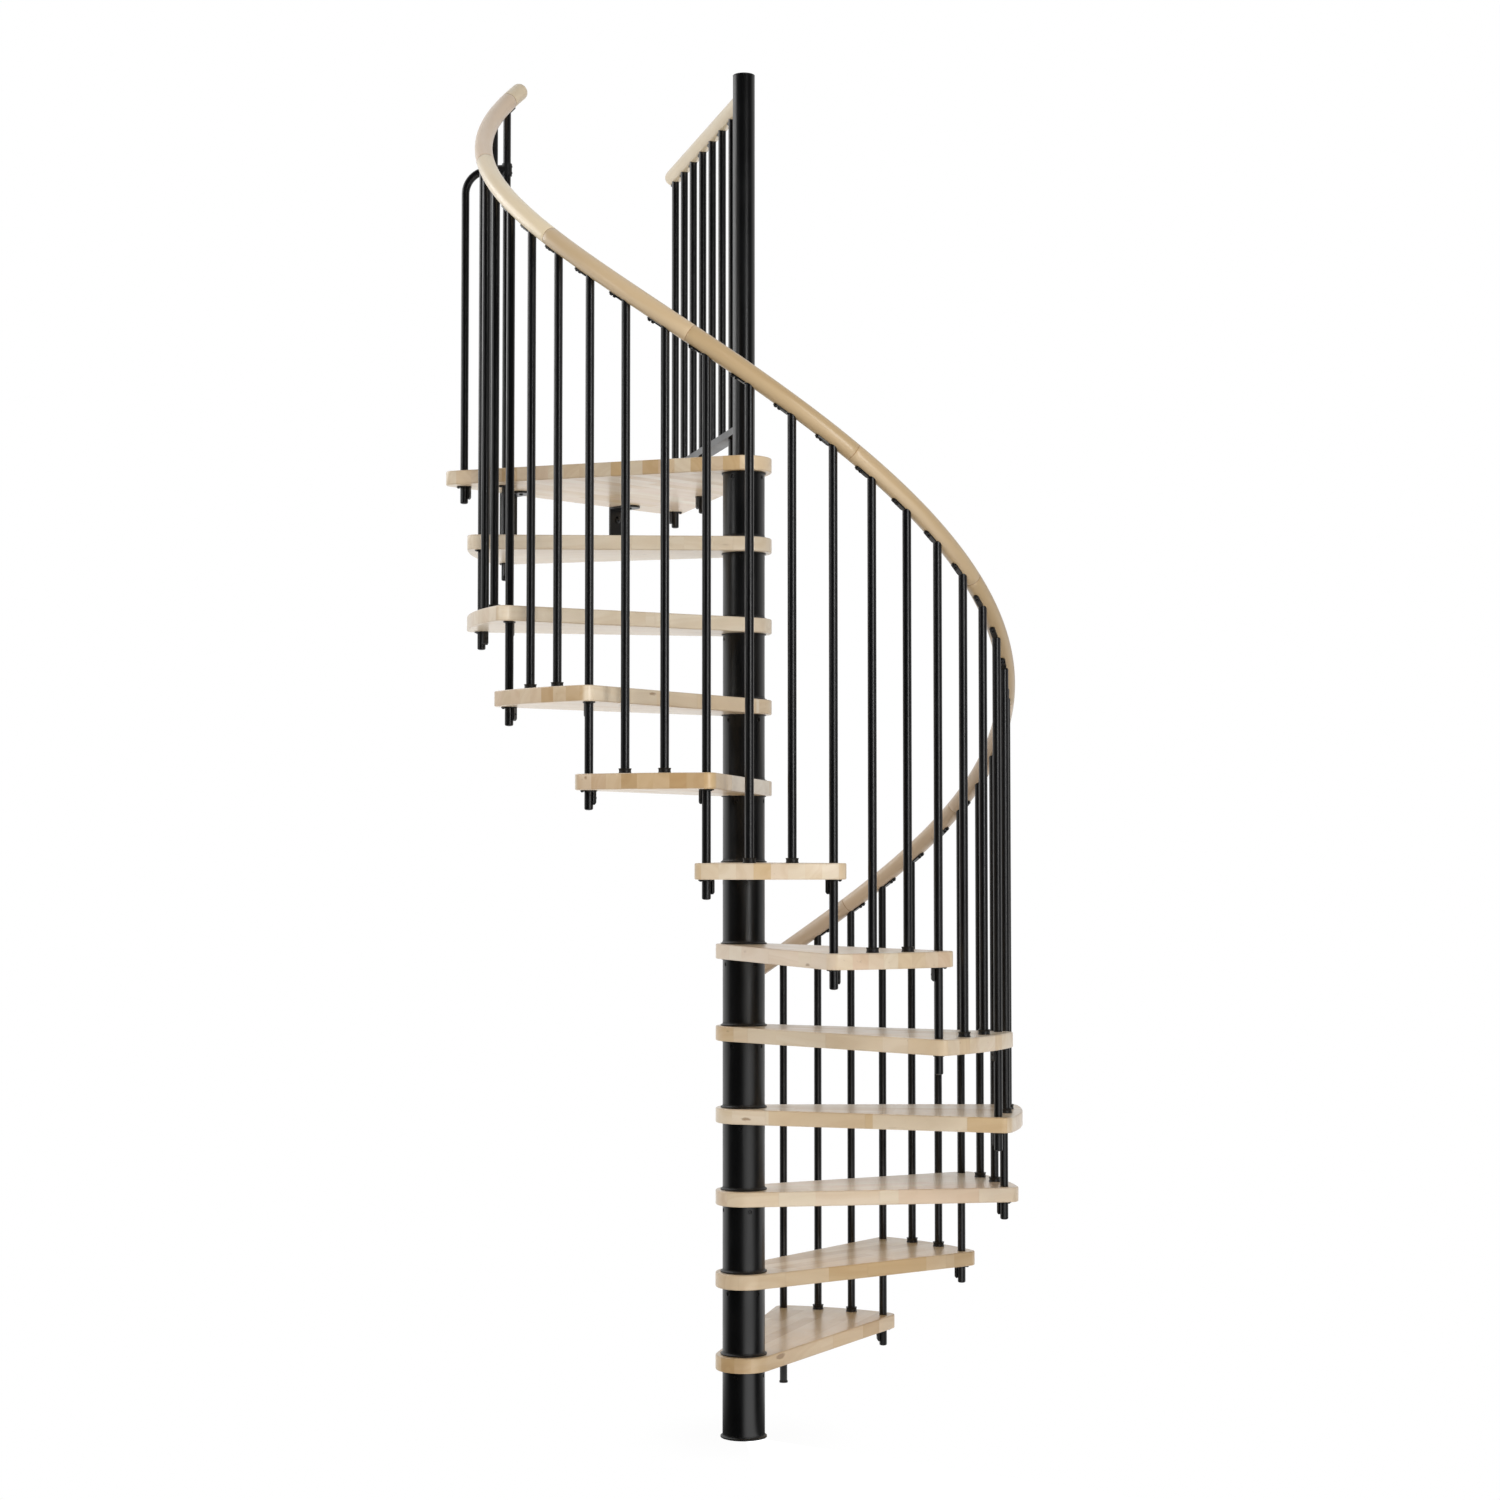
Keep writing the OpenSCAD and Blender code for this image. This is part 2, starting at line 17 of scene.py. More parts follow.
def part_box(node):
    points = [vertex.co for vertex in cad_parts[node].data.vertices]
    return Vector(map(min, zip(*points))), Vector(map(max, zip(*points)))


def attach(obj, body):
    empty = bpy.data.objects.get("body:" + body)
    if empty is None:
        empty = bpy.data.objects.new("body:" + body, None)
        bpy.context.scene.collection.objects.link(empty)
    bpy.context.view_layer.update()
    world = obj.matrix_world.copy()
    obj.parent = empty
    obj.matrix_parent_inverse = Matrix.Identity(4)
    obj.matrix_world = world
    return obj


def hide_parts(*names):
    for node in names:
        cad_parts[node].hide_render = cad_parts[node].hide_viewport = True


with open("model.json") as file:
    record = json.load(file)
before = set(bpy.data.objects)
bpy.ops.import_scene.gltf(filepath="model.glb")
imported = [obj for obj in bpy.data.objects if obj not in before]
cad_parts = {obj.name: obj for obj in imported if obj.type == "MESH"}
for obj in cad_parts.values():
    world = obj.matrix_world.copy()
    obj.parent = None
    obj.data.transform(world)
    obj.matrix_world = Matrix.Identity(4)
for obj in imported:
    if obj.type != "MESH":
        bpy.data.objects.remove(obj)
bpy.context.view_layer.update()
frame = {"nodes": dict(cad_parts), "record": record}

scene = bpy.context.scene

# %% [markdown]
# ## The stair's plan
# A stair like this is set out from very few sizes: the rise of a step, its turn, and the circle on which the
# balusters stand. Every screw and plug below is placed from these, so the sizes are written once, in metres,
# and the rest is worked out. Baluster 0 is the start post, and the count goes up the stair.

# %% Sizes of the plan
tread_count = 11
per_step = 3
step_turn = math.radians(25.4)
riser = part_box("tread_02")[1][2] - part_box("tread_01")[1][2]
tread_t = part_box("tread_01")[1][2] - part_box("tread_01")[0][2]
landing_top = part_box("landing")[1][2]

post_low, post_high = (Vector(c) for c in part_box("start_post"))
first_post = (post_low + post_high) / 2
baluster_r = (post_high.x - post_low.x) / 2
post_circle = first_post.to_2d().length
first_angle = math.atan2(first_post.y, first_post.x)

post_count = tread_count * per_step
post_turn = step_turn / per_step
post_rise = riser / per_step
rail_r = 0.024
rail_height = 1.052
rail_start = riser + rail_height
rail_slope = math.atan(post_rise / (post_circle * post_turn))
slope_degrees = math.degrees(rail_slope)
print(f"rise {riser:.3f} m, baluster circle {post_circle:.3f} m, rail slope {slope_degrees:.1f} degrees")


# %% Places on the plan
def post_matrix(k, z=0.0):
    """X climbs, Y points away from the pole, Z is up, at baluster k."""
    a = first_angle - k * post_turn
    turned = Matrix.Rotation(a - math.pi / 2, 4, "Z")
    return Matrix.Translation((post_circle * math.cos(a), post_circle * math.sin(a), z)) @ turned


def rail_matrix(k):
    """As post_matrix, at the rail's centre and tilted to its slope."""
    return post_matrix(k, rail_start + k * post_rise) @ Matrix.Rotation(-rail_slope, 4, "Y")


def tread_turn(n):
    """Direction of tread n's middle line."""
    return first_angle - (n - 0.5) * step_turn


railing_angle = math.radians(90 - 29.3)
railing_first = 0.124
railing_count = 7
railing_margin = 0.060
landing_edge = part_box("landing")[1][1]
railing_last = (landing_edge - railing_margin) / math.sin(railing_angle)
railing_pitch = (railing_last - railing_first) / (railing_count - 1)
railing_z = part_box("landing_handrail")[1][2] - rail_r


def railing_matrix(along, z):
    """X runs out along the landing's railing, Z is up."""
    return Matrix.Rotation(railing_angle, 4, "Z") @ Matrix.Translation((along, 0, z))


print(f"railing: {railing_count} balusters, {railing_pitch * 1000:.1f} mm apart")

# %% [markdown]
# ## Camera
# The photograph is taken from about seven metres away, level with the seventh tread, with a slightly long
# lens. The camera's place was fitted to the feet of the balusters. It looks almost level, so the lower treads
# show their tops and the upper ones their undersides.

# %% Camera
camera_place = (-4.8118, -4.9253, 1.5574)
camera_tilt = math.radians(92.392)
camera_turn = math.radians(-44.473)

lens = bpy.data.cameras.new("camera")
lens.lens = 60.876
lens.sensor_width = 36
camera = bpy.data.objects.new("camera", lens)
camera.location = camera_place
camera.rotation_euler = (camera_tilt, 0, camera_turn)
scene.collection.objects.link(camera)
scene.camera = camera
print("camera at", camera_place)

# %% [markdown]
# ## Backdrop and light
# The stair stands before a white backdrop. A camera ray that misses the stair sees plain white. So do the
# mirror rays that leave it towards the back, which gives the tubes a pale rim on both sides. The room in
# front is dim, as a real studio is, and that keeps the black tubes black.

# %% Node helpers
def feed(tree, socket, value):
    """Links another node's output to a socket, or sets the socket's value."""
    if isinstance(value, bpy.types.NodeSocket):
        tree.links.new(value, socket)
    else:
        socket.default_value = value


def put(tree, kind, inputs=None, **settings):
    """Adds a shader node, sets it up and feeds its inputs."""
    made = tree.nodes.new("ShaderNode" + kind)
    for name, value in settings.items():
        setattr(made, name, value)
    for key, value in (inputs or {}).items():
        feed(tree, made.inputs[key], value)
    return made


def calc(tree, operation, *values):
    """A Math node's result."""
    return put(tree, "Math", dict(enumerate(values)), operation=operation).outputs[0]


def remap(tree, value, low, high, to_low=0.0, to_high=1.0, smooth=True):
    """A value brought from one range to another, with soft ends or evenly."""
    ends = {"Value": value, "From Min": low, "From Max": high, "To Min": to_low, "To Max": to_high}
    kind = "SMOOTHSTEP" if smooth else "LINEAR"
    return put(tree, "MapRange", ends, interpolation_type=kind).outputs["Result"]


def dot(tree, one, other):
    """How far one vector goes along another."""
    return put(tree, "VectorMath", {0: one, 1: other}, operation="DOT_PRODUCT").outputs["Value"]


def size_of(tree, vector):
    """A vector's length."""
    return put(tree, "VectorMath", {0: vector}, operation="LENGTH").outputs["Value"]


def noise(tree, place, scale, detail):
    """Noise between 0 and 1."""
    return put(tree, "TexNoise", {"Vector": place, "Scale": scale, "Detail": detail}).outputs["Fac"]


def stored(tree, name, output="Fac", **settings):
    """A value that was stored on the mesh or on the object."""
    return put(tree, "Attribute", attribute_name=name, **settings).outputs[output]


# %% World
room = bpy.data.worlds.new("studio")
room.use_nodes = True
room_tree = room.node_tree
room_tree.nodes.clear()

dim_front = 0.02
soft_back = 0.60
towards_back = (-math.sin(camera_turn), math.cos(camera_turn), 0.15)

look = put(room_tree, "TexCoord").outputs["Generated"]
facing = dot(room_tree, look, towards_back)
level = remap(room_tree, facing, -0.35, 0.55, dim_front, soft_back)
around = put(room_tree, "Background", {"Color": (1.0, 0.985, 0.965, 1), "Strength": level})
white = put(room_tree, "Background", {"Color": (1, 1, 1, 1), "Strength": 1.0})
rays = put(room_tree, "LightPath").outputs
rightwards = (math.cos(camera_turn), math.sin(camera_turn), 0.0)
right = dot(room_tree, look, rightwards)
backdrop = calc(room_tree, "MULTIPLY", remap(room_tree, facing, -0.15, 0.55),
                remap(room_tree, right, -0.2, 0.5, 1.0, 0.35))
mirrored = calc(room_tree, "MULTIPLY", rays["Is Glossy Ray"], backdrop)
direct = calc(room_tree, "MAXIMUM", rays["Is Camera Ray"], rays["Is Transmission Ray"])
plain = calc(room_tree, "MAXIMUM", direct, mirrored)
mixed = put(room_tree, "MixShader", {0: plain, 1: around.outputs[0], 2: white.outputs[0]})
put(room_tree, "OutputWorld", {"Surface": mixed.outputs[0]})
scene.world = room
scene.view_settings.view_transform = "Standard"
print("world: camera rays see white, the room goes from", dim_front, "to", soft_back)


# %% [markdown]
# Three soft boxes draw the highlights on the tubes: a tall one on the right, a smaller one high on the left,
# and a wide one behind it, which gives the upper tubes and the handrail's upper end a pale left rim. The wood
# needs more light than that, from the camera's side and from below, where a white studio throws it back off
# the floor. A large spot lamp, whose beam is narrow, keeps most of the front light on the upper half of the
# stair. The front lamps are hidden from mirror rays, because such large pale fields would turn the black coat
# grey. All are weak enough that a colour renders about as it is written.

# %% Lamps
def set_lamp(lamp, side, height, distance, watts, aim, in_mirror=True):
    """Puts a lamp at its angle to the right of the camera, as seen from the pole, and turns it to its aim."""
    lamp.energy = watts
    box = bpy.data.objects.new(lamp.name, lamp)
    a = camera_turn - math.pi / 2 + math.radians(side)
    box.location = (distance * math.cos(a), distance * math.sin(a), height)
    box.rotation_euler = (Vector(aim) - box.location).to_track_quat("-Z", "Y").to_euler()
    box.visible_glossy = in_mirror
    box.visible_camera = False
    scene.collection.objects.link(box)
    print(f"{lamp.name}: {watts} W at {[round(v, 2) for v in box.location]}")


def soft_box(name, size, *place, in_mirror=True):
    """A lamp with a rectangular cloth in front."""
    lamp = bpy.data.lights.new(name, "AREA")
    lamp.shape = "RECTANGLE"
    lamp.size, lamp.size_y = size
    set_lamp(lamp, *place, in_mirror=in_mirror)


def soft_spot(name, size, beam, *place):
    """A large round lamp with a narrow beam that fades out to its rim, hidden from mirror rays."""
    lamp = bpy.data.lights.new(name, "SPOT")
    lamp.shadow_soft_size = size
    lamp.spot_size = math.radians(beam)
    lamp.spot_blend = 1.0
    set_lamp(lamp, *place, in_mirror=False)


key_side = 30
soft_box("key_box", (1.0, 2.8), key_side, 2.7, 4.6, 53, (0, 0, 2.7))
soft_box("side_box", (1.0, 1.6), -60, 3.2, 4.6, 14, (0, 0, 2.6))
soft_box("rim_box", (2.6, 1.8), -105, 4.0, 3.6, 36, (0, 0, 3.5))
soft_box("fill_box", (2.4, 2.0), 0, 3.8, 4.6, 32, (0, 0, 3.2), in_mirror=False)
soft_spot("upper_spot", 1.0, 53, 4, 4.58, 4.6, 440, (0, 0, 2.72))
soft_box("top_box", (3.0, 3.0), 0, 6.2, 1.5, 6, (0, 0, 1.0))

# %% [markdown]
# The floor is a large white sheet. For camera rays it is plain white, except round the pole's foot, where a
# part of its own shade is kept and shows the stair's shadow. A mirror ray sees it white behind the stair and
# dim in front, like the room, except for the pool of light under the key box. A diffuse ray sees the sheet
# with a faint glow of its own, for the light that a whole white studio throws up at the undersides.

# %% Floor
floor_half = 14.0
floor_mesh = bpy.data.meshes.new("floor")
corners = [(x * floor_half, y * floor_half, 0) for x, y in ((-1, -1), (1, -1), (1, 1), (-1, 1))]
floor_mesh.from_pydata(corners, [], [(0, 1, 2, 3)])
floor = bpy.data.objects.new("floor", floor_mesh)
scene.collection.objects.link(floor)

sheet = bpy.data.materials.new("white_floor")
sheet.use_nodes = True
sheet_tree = sheet.node_tree
sheet_tree.nodes.clear()
paper = put(sheet_tree, "BsdfDiffuse", {"Color": (0.86, 0.86, 0.86, 1)})
spot = put(sheet_tree, "NewGeometry").outputs["Position"]
away = size_of(sheet_tree, spot)
back = dot(sheet_tree, spot, towards_back)
floor_rays = put(sheet_tree, "LightPath").outputs
white_share = remap(sheet_tree, away, 0.05, 0.35, 0.96, 1.0)
seen = calc(sheet_tree, "MULTIPLY", floor_rays["Is Camera Ray"], white_share)
reflected = calc(sheet_tree, "MAXIMUM", floor_rays["Is Glossy Ray"], floor_rays["Is Transmission Ray"])
key_turn = camera_turn - math.pi / 2 + math.radians(key_side)
ahead = put(sheet_tree, "VectorMath", {0: spot}, operation="NORMALIZE").outputs[0]
key_way = (math.cos(key_turn), math.sin(key_turn), 0)
on_key = dot(sheet_tree, ahead, key_way)
pool = remap(sheet_tree, on_key, 0.80, 0.98, dim_front, 1.6)
lit = calc(sheet_tree, "MAXIMUM", pool, remap(sheet_tree, back, -0.2, 1.0, dim_front, 1.0))
shine = calc(sheet_tree, "MAXIMUM", floor_rays["Is Camera Ray"], lit)
thrown_back = calc(sheet_tree, "MULTIPLY", floor_rays["Is Diffuse Ray"], 0.5)
glow = put(sheet_tree, "Emission", {"Color": (1, 1, 1, 1), "Strength": shine})
instead = calc(sheet_tree, "MAXIMUM", seen, reflected)
bounce = put(sheet_tree, "Emission", {"Color": (1, 0.985, 0.96, 1), "Strength": thrown_back})
lit_paper = put(sheet_tree, "AddShader", {0: paper.outputs[0], 1: bounce.outputs[0]})
floor_mix = put(sheet_tree, "MixShader", {0: instead, 1: lit_paper.outputs[0], 2: glow.outputs[0]})
sheet.cycles.emission_sampling = "NONE"
put(sheet_tree, "OutputMaterial", {"Surface": floor_mix.outputs[0]})
floor_mesh.materials.append(sheet)
print("floor:", 2 * floor_half, "m wide")

# %% [markdown]
# ## Effects that several finishes share
# Wood and paint on this stair have a few effects in common: fine texture, wiped patches in the gloss, wear
# along edges, and a little dust on what faces up. Each is a shader node group with named sockets, built once
# and placed in each material with its own values. A group only puts out colours, masks and values. The
# shader itself stays in the material.

# %% Group helper
def new_group(name, inputs, outputs):
    """An empty shader node group with its sockets, and its input and output nodes."""
    tree = bpy.data.node_groups.new(name, "ShaderNodeTree")
    for label, value in inputs.items():
        kind = "NodeSocketVector" if isinstance(value, tuple) else "NodeSocketFloat"
        tree.interface.new_socket(label, in_out="INPUT", socket_type=kind).default_value = value
    for label in outputs:
        kind = "NodeSocketVector" if label.endswith("Place") else "NodeSocketFloat"
        tree.interface.new_socket(label, in_out="OUTPUT", socket_type=kind)
    return tree, tree.nodes.new("NodeGroupInput").outputs, tree.nodes.new("NodeGroupOutput").inputs


def place_group(tree, group, inputs):
    """Puts a group into a material and returns its outputs."""
    made = tree.nodes.new("ShaderNodeGroup")
    made.node_tree = group
    for key, value in inputs.items():
        feed(tree, made.inputs[key], value)
    return made.outputs


# %% [markdown]
# ### Glued staves
# The boards are glued up from strips about 42 mm wide, and each strip is finger-jointed from shorter pieces.
# A strip's number comes from rounding down the place across the board, a piece's number from rounding down
# the place along it, and a random value for each pair of numbers gives every piece its own tone. The pieces
# of one strip have a length of their own, so the joints never line up. The place that is handed on is taken
# from the middle of the strip and shifted at random, so that each piece was cut at another spot of its log.

# %% Group: glued staves
staves, stave_in, stave_out = new_group(
    "glued_staves",
    {"Place": (0.0, 0.0, 0.0), "Stave Width": 0.042, "Piece Length": 0.26, "Seed": 0.0},
    ["Tone", "Seam", "Grain Place"],
)
xyz = put(staves, "SeparateXYZ", {0: stave_in["Place"]}).outputs
across = calc(staves, "DIVIDE", calc(staves, "ADD", xyz["Y"], 10.0), stave_in["Stave Width"])
row = calc(staves, "FLOOR", across)
row_key = put(staves, "CombineXYZ", {"X": row, "Y": stave_in["Seed"], "Z": 3.7}).outputs[0]
row_shift = put(staves, "TexWhiteNoise", {"Vector": row_key}).outputs["Value"]
length_share = calc(staves, "MULTIPLY_ADD", row_shift, 0.7, 0.65)
own_length = calc(staves, "MULTIPLY", stave_in["Piece Length"], length_share)
along = calc(staves, "ADD", calc(staves, "DIVIDE", xyz["X"], own_length),
             calc(staves, "MULTIPLY_ADD", row_shift, 7.0, 40.0))
piece = calc(staves, "FLOOR", along)
piece_key = put(staves, "CombineXYZ", {"X": row, "Y": piece, "Z": stave_in["Seed"]}).outputs[0]
piece_noise = put(staves, "TexWhiteNoise", {"Vector": piece_key}).outputs

row_gap = calc(staves, "MULTIPLY", calc(staves, "PINGPONG", across, 0.5), stave_in["Stave Width"])
end_gap = calc(staves, "MULTIPLY", calc(staves, "PINGPONG", along, 0.5), own_length)
seam = remap(staves, calc(staves, "MINIMUM", row_gap, end_gap), 0.0, 0.0007, 1.0, 0.0)

chance = put(staves, "SeparateColor", {0: piece_noise["Color"]}).outputs
from_middle = calc(staves, "MULTIPLY", calc(staves, "SUBTRACT", calc(staves, "FRACT", across), 0.5),
                   stave_in["Stave Width"])
log_x = calc(staves, "MULTIPLY_ADD", chance["Red"], 9.0, xyz["X"])
log_y = calc(staves, "ADD", from_middle, calc(staves, "MULTIPLY_ADD", chance["Green"], 0.12, -0.06))
log_z = calc(staves, "ADD", xyz["Z"], calc(staves, "MULTIPLY_ADD", chance["Blue"], 0.12, -0.04))
moved = put(staves, "CombineXYZ", {"X": log_x, "Y": log_y, "Z": log_z}).outputs[0]
for label, value in (("Tone", piece_noise["Value"]), ("Seam", seam), ("Grain Place", moved)):
    staves.links.new(value, stave_out[label])
print("group:", staves.name)

# %% [markdown]
# ### Wood figure
# The figure of wood comes from its growth rings, which are tubes round the middle of the log. Here the log
# lies along X, so the distance from the X axis says on which ring a point is, and noise of that distance
# alone gives rings of uneven width. Slow noise bends them. The rings fill space, so a board's end shows arcs
# and its side long streaks without more work. Short fine pores run with the fibre, noise that is stretched a
# long way along X. A rare streak and, in a few cells of a Voronoi texture, a small knot complete it.

# %% Group: wood figure
figure, figure_in, figure_out = new_group(
    "wood_figure",
    {"Place": (0.0, 0.0, 0.0), "Ring Scale": 48.0, "Pore Scale": 900.0, "Streak Level": 0.68,
     "Knot Share": 0.35},
    ["Rings", "Pores", "Streaks", "Knots"],
)


def stretched(tree, place, stretch):
    """A place drawn out along X."""
    return put(tree, "VectorMath", {0: place, 1: (stretch, 1.0, 1.0)}, operation="MULTIPLY").outputs[0]


def stretched_noise(tree, place, stretch, scale, detail):
    """Noise that is drawn out along X."""
    return noise(tree, stretched(tree, place, stretch), scale, detail)


square_to_log = stretched(figure, figure_in["Place"], 0.0)
from_pith = size_of(figure, square_to_log)
bend = calc(figure, "MULTIPLY", stretched_noise(figure, figure_in["Place"], 0.12, 14.0, 3.0), 0.03)
ring_place = calc(figure, "ADD", from_pith, bend)
ring_ends = {"W": ring_place, "Scale": figure_in["Ring Scale"], "Detail": 2.0, "Roughness": 0.45}
rings = put(figure, "TexNoise", ring_ends, noise_dimensions="1D").outputs["Fac"]
pores = stretched_noise(figure, figure_in["Place"], 0.05, figure_in["Pore Scale"], 2.0)
streak_noise = stretched_noise(figure, figure_in["Place"], 0.16, 42.0, 3.0)
streaks = remap(figure, streak_noise, figure_in["Streak Level"], 0.80)
cell_place = stretched(figure, figure_in["Place"], 0.45)
cells = put(figure, "TexVoronoi", {"Vector": cell_place, "Scale": 12.0}).outputs
cell_chance = put(figure, "SeparateColor", {0: cells["Color"]}).outputs["Red"]
knots = calc(figure, "MULTIPLY", remap(figure, cells["Distance"], 0.060, 0.022),
             calc(figure, "LESS_THAN", cell_chance, figure_in["Knot Share"]))
for label, value in (("Rings", remap(figure, rings, 0.32, 0.68)), ("Pores", remap(figure, pores, 0.52, 0.72)),
                     ("Streaks", streaks), ("Knots", knots)):
    figure.links.new(value, figure_out[label])
print("group:", figure.name)

# %% [markdown]
# ### Edge wear and dust
# Paint gets thin on an edge that feet and hands brush past. The Bevel node gives the normal that a rounded
# edge would have, and where it differs from the true normal there is an edge. Noise breaks the mask up.
# Dust is a mask of what faces up, broken up in the same way.

# %% Group: edge wear
wear, wear_in, wear_out = new_group(
    "edge_wear", {"Radius": 0.0012, "Breakup": 60.0}, ["Mask"]
)
rounded = put(wear, "Bevel", {"Radius": wear_in["Radius"]}, samples=4).outputs[0]
true_normal = put(wear, "NewGeometry").outputs["Normal"]
edge = remap(wear, dot(wear, rounded, true_normal), 0.995, 0.85)
wear_place = put(wear, "TexCoord").outputs["Object"]
patch = noise(wear, wear_place, wear_in["Breakup"], 3.0)
wear.links.new(calc(wear, "MULTIPLY", edge, remap(wear, patch, 0.4, 0.7)), wear_out["Mask"])
print("group:", wear.name)

# %% Group: dust
dust, dust_in, dust_out = new_group("dust", {"Amount": 0.3, "Scale": 30.0}, ["Mask"])
up = put(dust, "SeparateXYZ", {0: put(dust, "NewGeometry").outputs["Normal"]}).outputs["Z"]
dust_place = put(dust, "TexCoord").outputs["Object"]
clumps = noise(dust, dust_place, dust_in["Scale"], 5.0)
lying = calc(dust, "MULTIPLY", remap(dust, up, 0.55, 0.98), remap(dust, clumps, 0.35, 0.75))
dust.links.new(calc(dust, "MULTIPLY", lying, dust_in["Amount"]), dust_out["Mask"])
print("group:", dust.name)

# %% [markdown]
# ### Gloss patches and fine skin
# No coat is evenly glossy. Slow noise gives the patches where a hand or a cloth has been, and fast noise the
# skin itself: the orange peel of a powder coat, or the spark texture of a mould. One group serves both.

# %% Group: coat skin
skin, skin_in, skin_out = new_group(
    "coat_skin", {"Place": (0.0, 0.0, 0.0), "Skin Scale": 700.0, "Patch Scale": 9.0}, ["Height", "Patches"]
)
fine = noise(skin, skin_in["Place"], skin_in["Skin Scale"], 2.0)
slow = noise(skin, skin_in["Place"], skin_in["Patch Scale"], 4.0)
skin.links.new(fine, skin_out["Height"])
skin.links.new(remap(skin, slow, 0.3, 0.7), skin_out["Patches"])
print("group:", skin.name)


# %% [markdown]
# ## Finishes
# The treads are pale hardwood under a semi-gloss lacquer: tones from cream to honey, changing from stave to
# stave. The ramp turns a piece's random value into a tone, the figure darkens it a little, and the glue
# lines are thin and brown. Where a board's edge cuts across the fibres, the open ends soak up more lacquer,
# and some pieces turn golden brown there. The arris, the narrow rounded edge of a board, is marked when its
# faces are made, and a little painted shade darkens it, for the thin dark line that light leaves along it.

# %% Helpers for finishes
def new_finish(name):
    """A material with a Principled BSDF, and its tree."""
    material = bpy.data.materials.new(name)
    material.use_nodes = True
    tree = material.node_tree
    return material, tree, tree.nodes["Principled BSDF"].inputs


def ramp(tree, value, stops):
    """A colour ramp's colour."""
    made = put(tree, "ValToRGB", {"Fac": value})
    spots = made.color_ramp.elements
    while len(spots) < len(stops):
        spots.new(0.5)
    for spot, (position, colour) in zip(spots, stops):
        spot.position = position
        spot.color = (*colour, 1)
    return made.outputs["Color"]


def tint(tree, amount, colour, over, mode="MIX"):
    """One colour laid over another, by a mask."""
    made = put(tree, "Mix", data_type="RGBA", blend_type=mode)
    for key, value in ((0, amount), (6, colour), (7, over)):
        feed(tree, made.inputs[key], (*value, 1) if isinstance(value, tuple) else value)
    return made.outputs[2]


def shaded(tree, mask, strength, colour, over, mode="MIX"):
    """One colour laid over another, by a mask of which a share is taken."""
    return tint(tree, calc(tree, "MULTIPLY", mask, strength), colour, over, mode)


# %% Finish: lacquered wood
cream = (0.82, 0.715, 0.56)
straw = (0.77, 0.62, 0.435)
blush = (0.78, 0.61, 0.45)
gold = (0.70, 0.52, 0.305)
honey = (0.60, 0.41, 0.20)
late_wood = (0.78, 0.67, 0.52)
umber = (0.30, 0.17, 0.075)
soaked = (0.66, 0.52, 0.34)
pale_dust = (0.62, 0.60, 0.57)


def wood_finish(name, layout, stops, figure_depth):
    """Lacquered hardwood. The layout gives the place on the piece and in the grain, the tone and masks."""
    material, tree, bsdf = new_finish(name)
    where, in_grain, tone, seam, end_grain, marks = layout(tree)
    grain = place_group(tree, figure, {"Place": in_grain})
    gloss = place_group(tree, skin, {"Place": where, "Skin Scale": 260.0, "Patch Scale": 11.0})
    settled = place_group(tree, dust, {"Amount": 0.08})

    colour = tint(tree, end_grain, ramp(tree, tone, stops), soaked, "MULTIPLY")
    colour = shaded(tree, grain["Rings"], figure_depth, colour, late_wood, "MULTIPLY")
    dark_spots = calc(tree, "MAXIMUM", grain["Knots"], marks)
    # The arris entry is painted shade: a thin darker line along the boards' rounded edges.
    umber_marks_and_arris_shade = ((grain["Pores"], 0.05), (grain["Streaks"], 0.45), (dark_spots, 0.75), (seam, 0.85),
                   (stored(tree, "arris"), 0.12))
    for mask, strength in umber_marks_and_arris_shade:
        colour = shaded(tree, mask, strength, colour, umber)
    colour = tint(tree, settled["Mask"], colour, pale_dust)
    tree.links.new(colour, bsdf["Base Color"])

    dull = calc(tree, "MULTIPLY_ADD", gloss["Patches"], 0.10, 0.32)
    tree.links.new(calc(tree, "MULTIPLY_ADD", grain["Pores"], 0.08, dull), bsdf["Roughness"])
    sunk = calc(tree, "SUBTRACT", calc(tree, "MULTIPLY", gloss["Height"], 0.4),
                calc(tree, "MULTIPLY_ADD", seam, 0.6, grain["Pores"]))
    relief = put(tree, "Bump", {"Strength": 0.05, "Distance": 0.0006, "Height": sunk})
    tree.links.new(relief.outputs[0], bsdf["Normal"])
    bsdf["Coat Weight"].default_value = 0.40
    bsdf["Coat Roughness"].default_value = 0.20
    print("finish:", name)
    return material


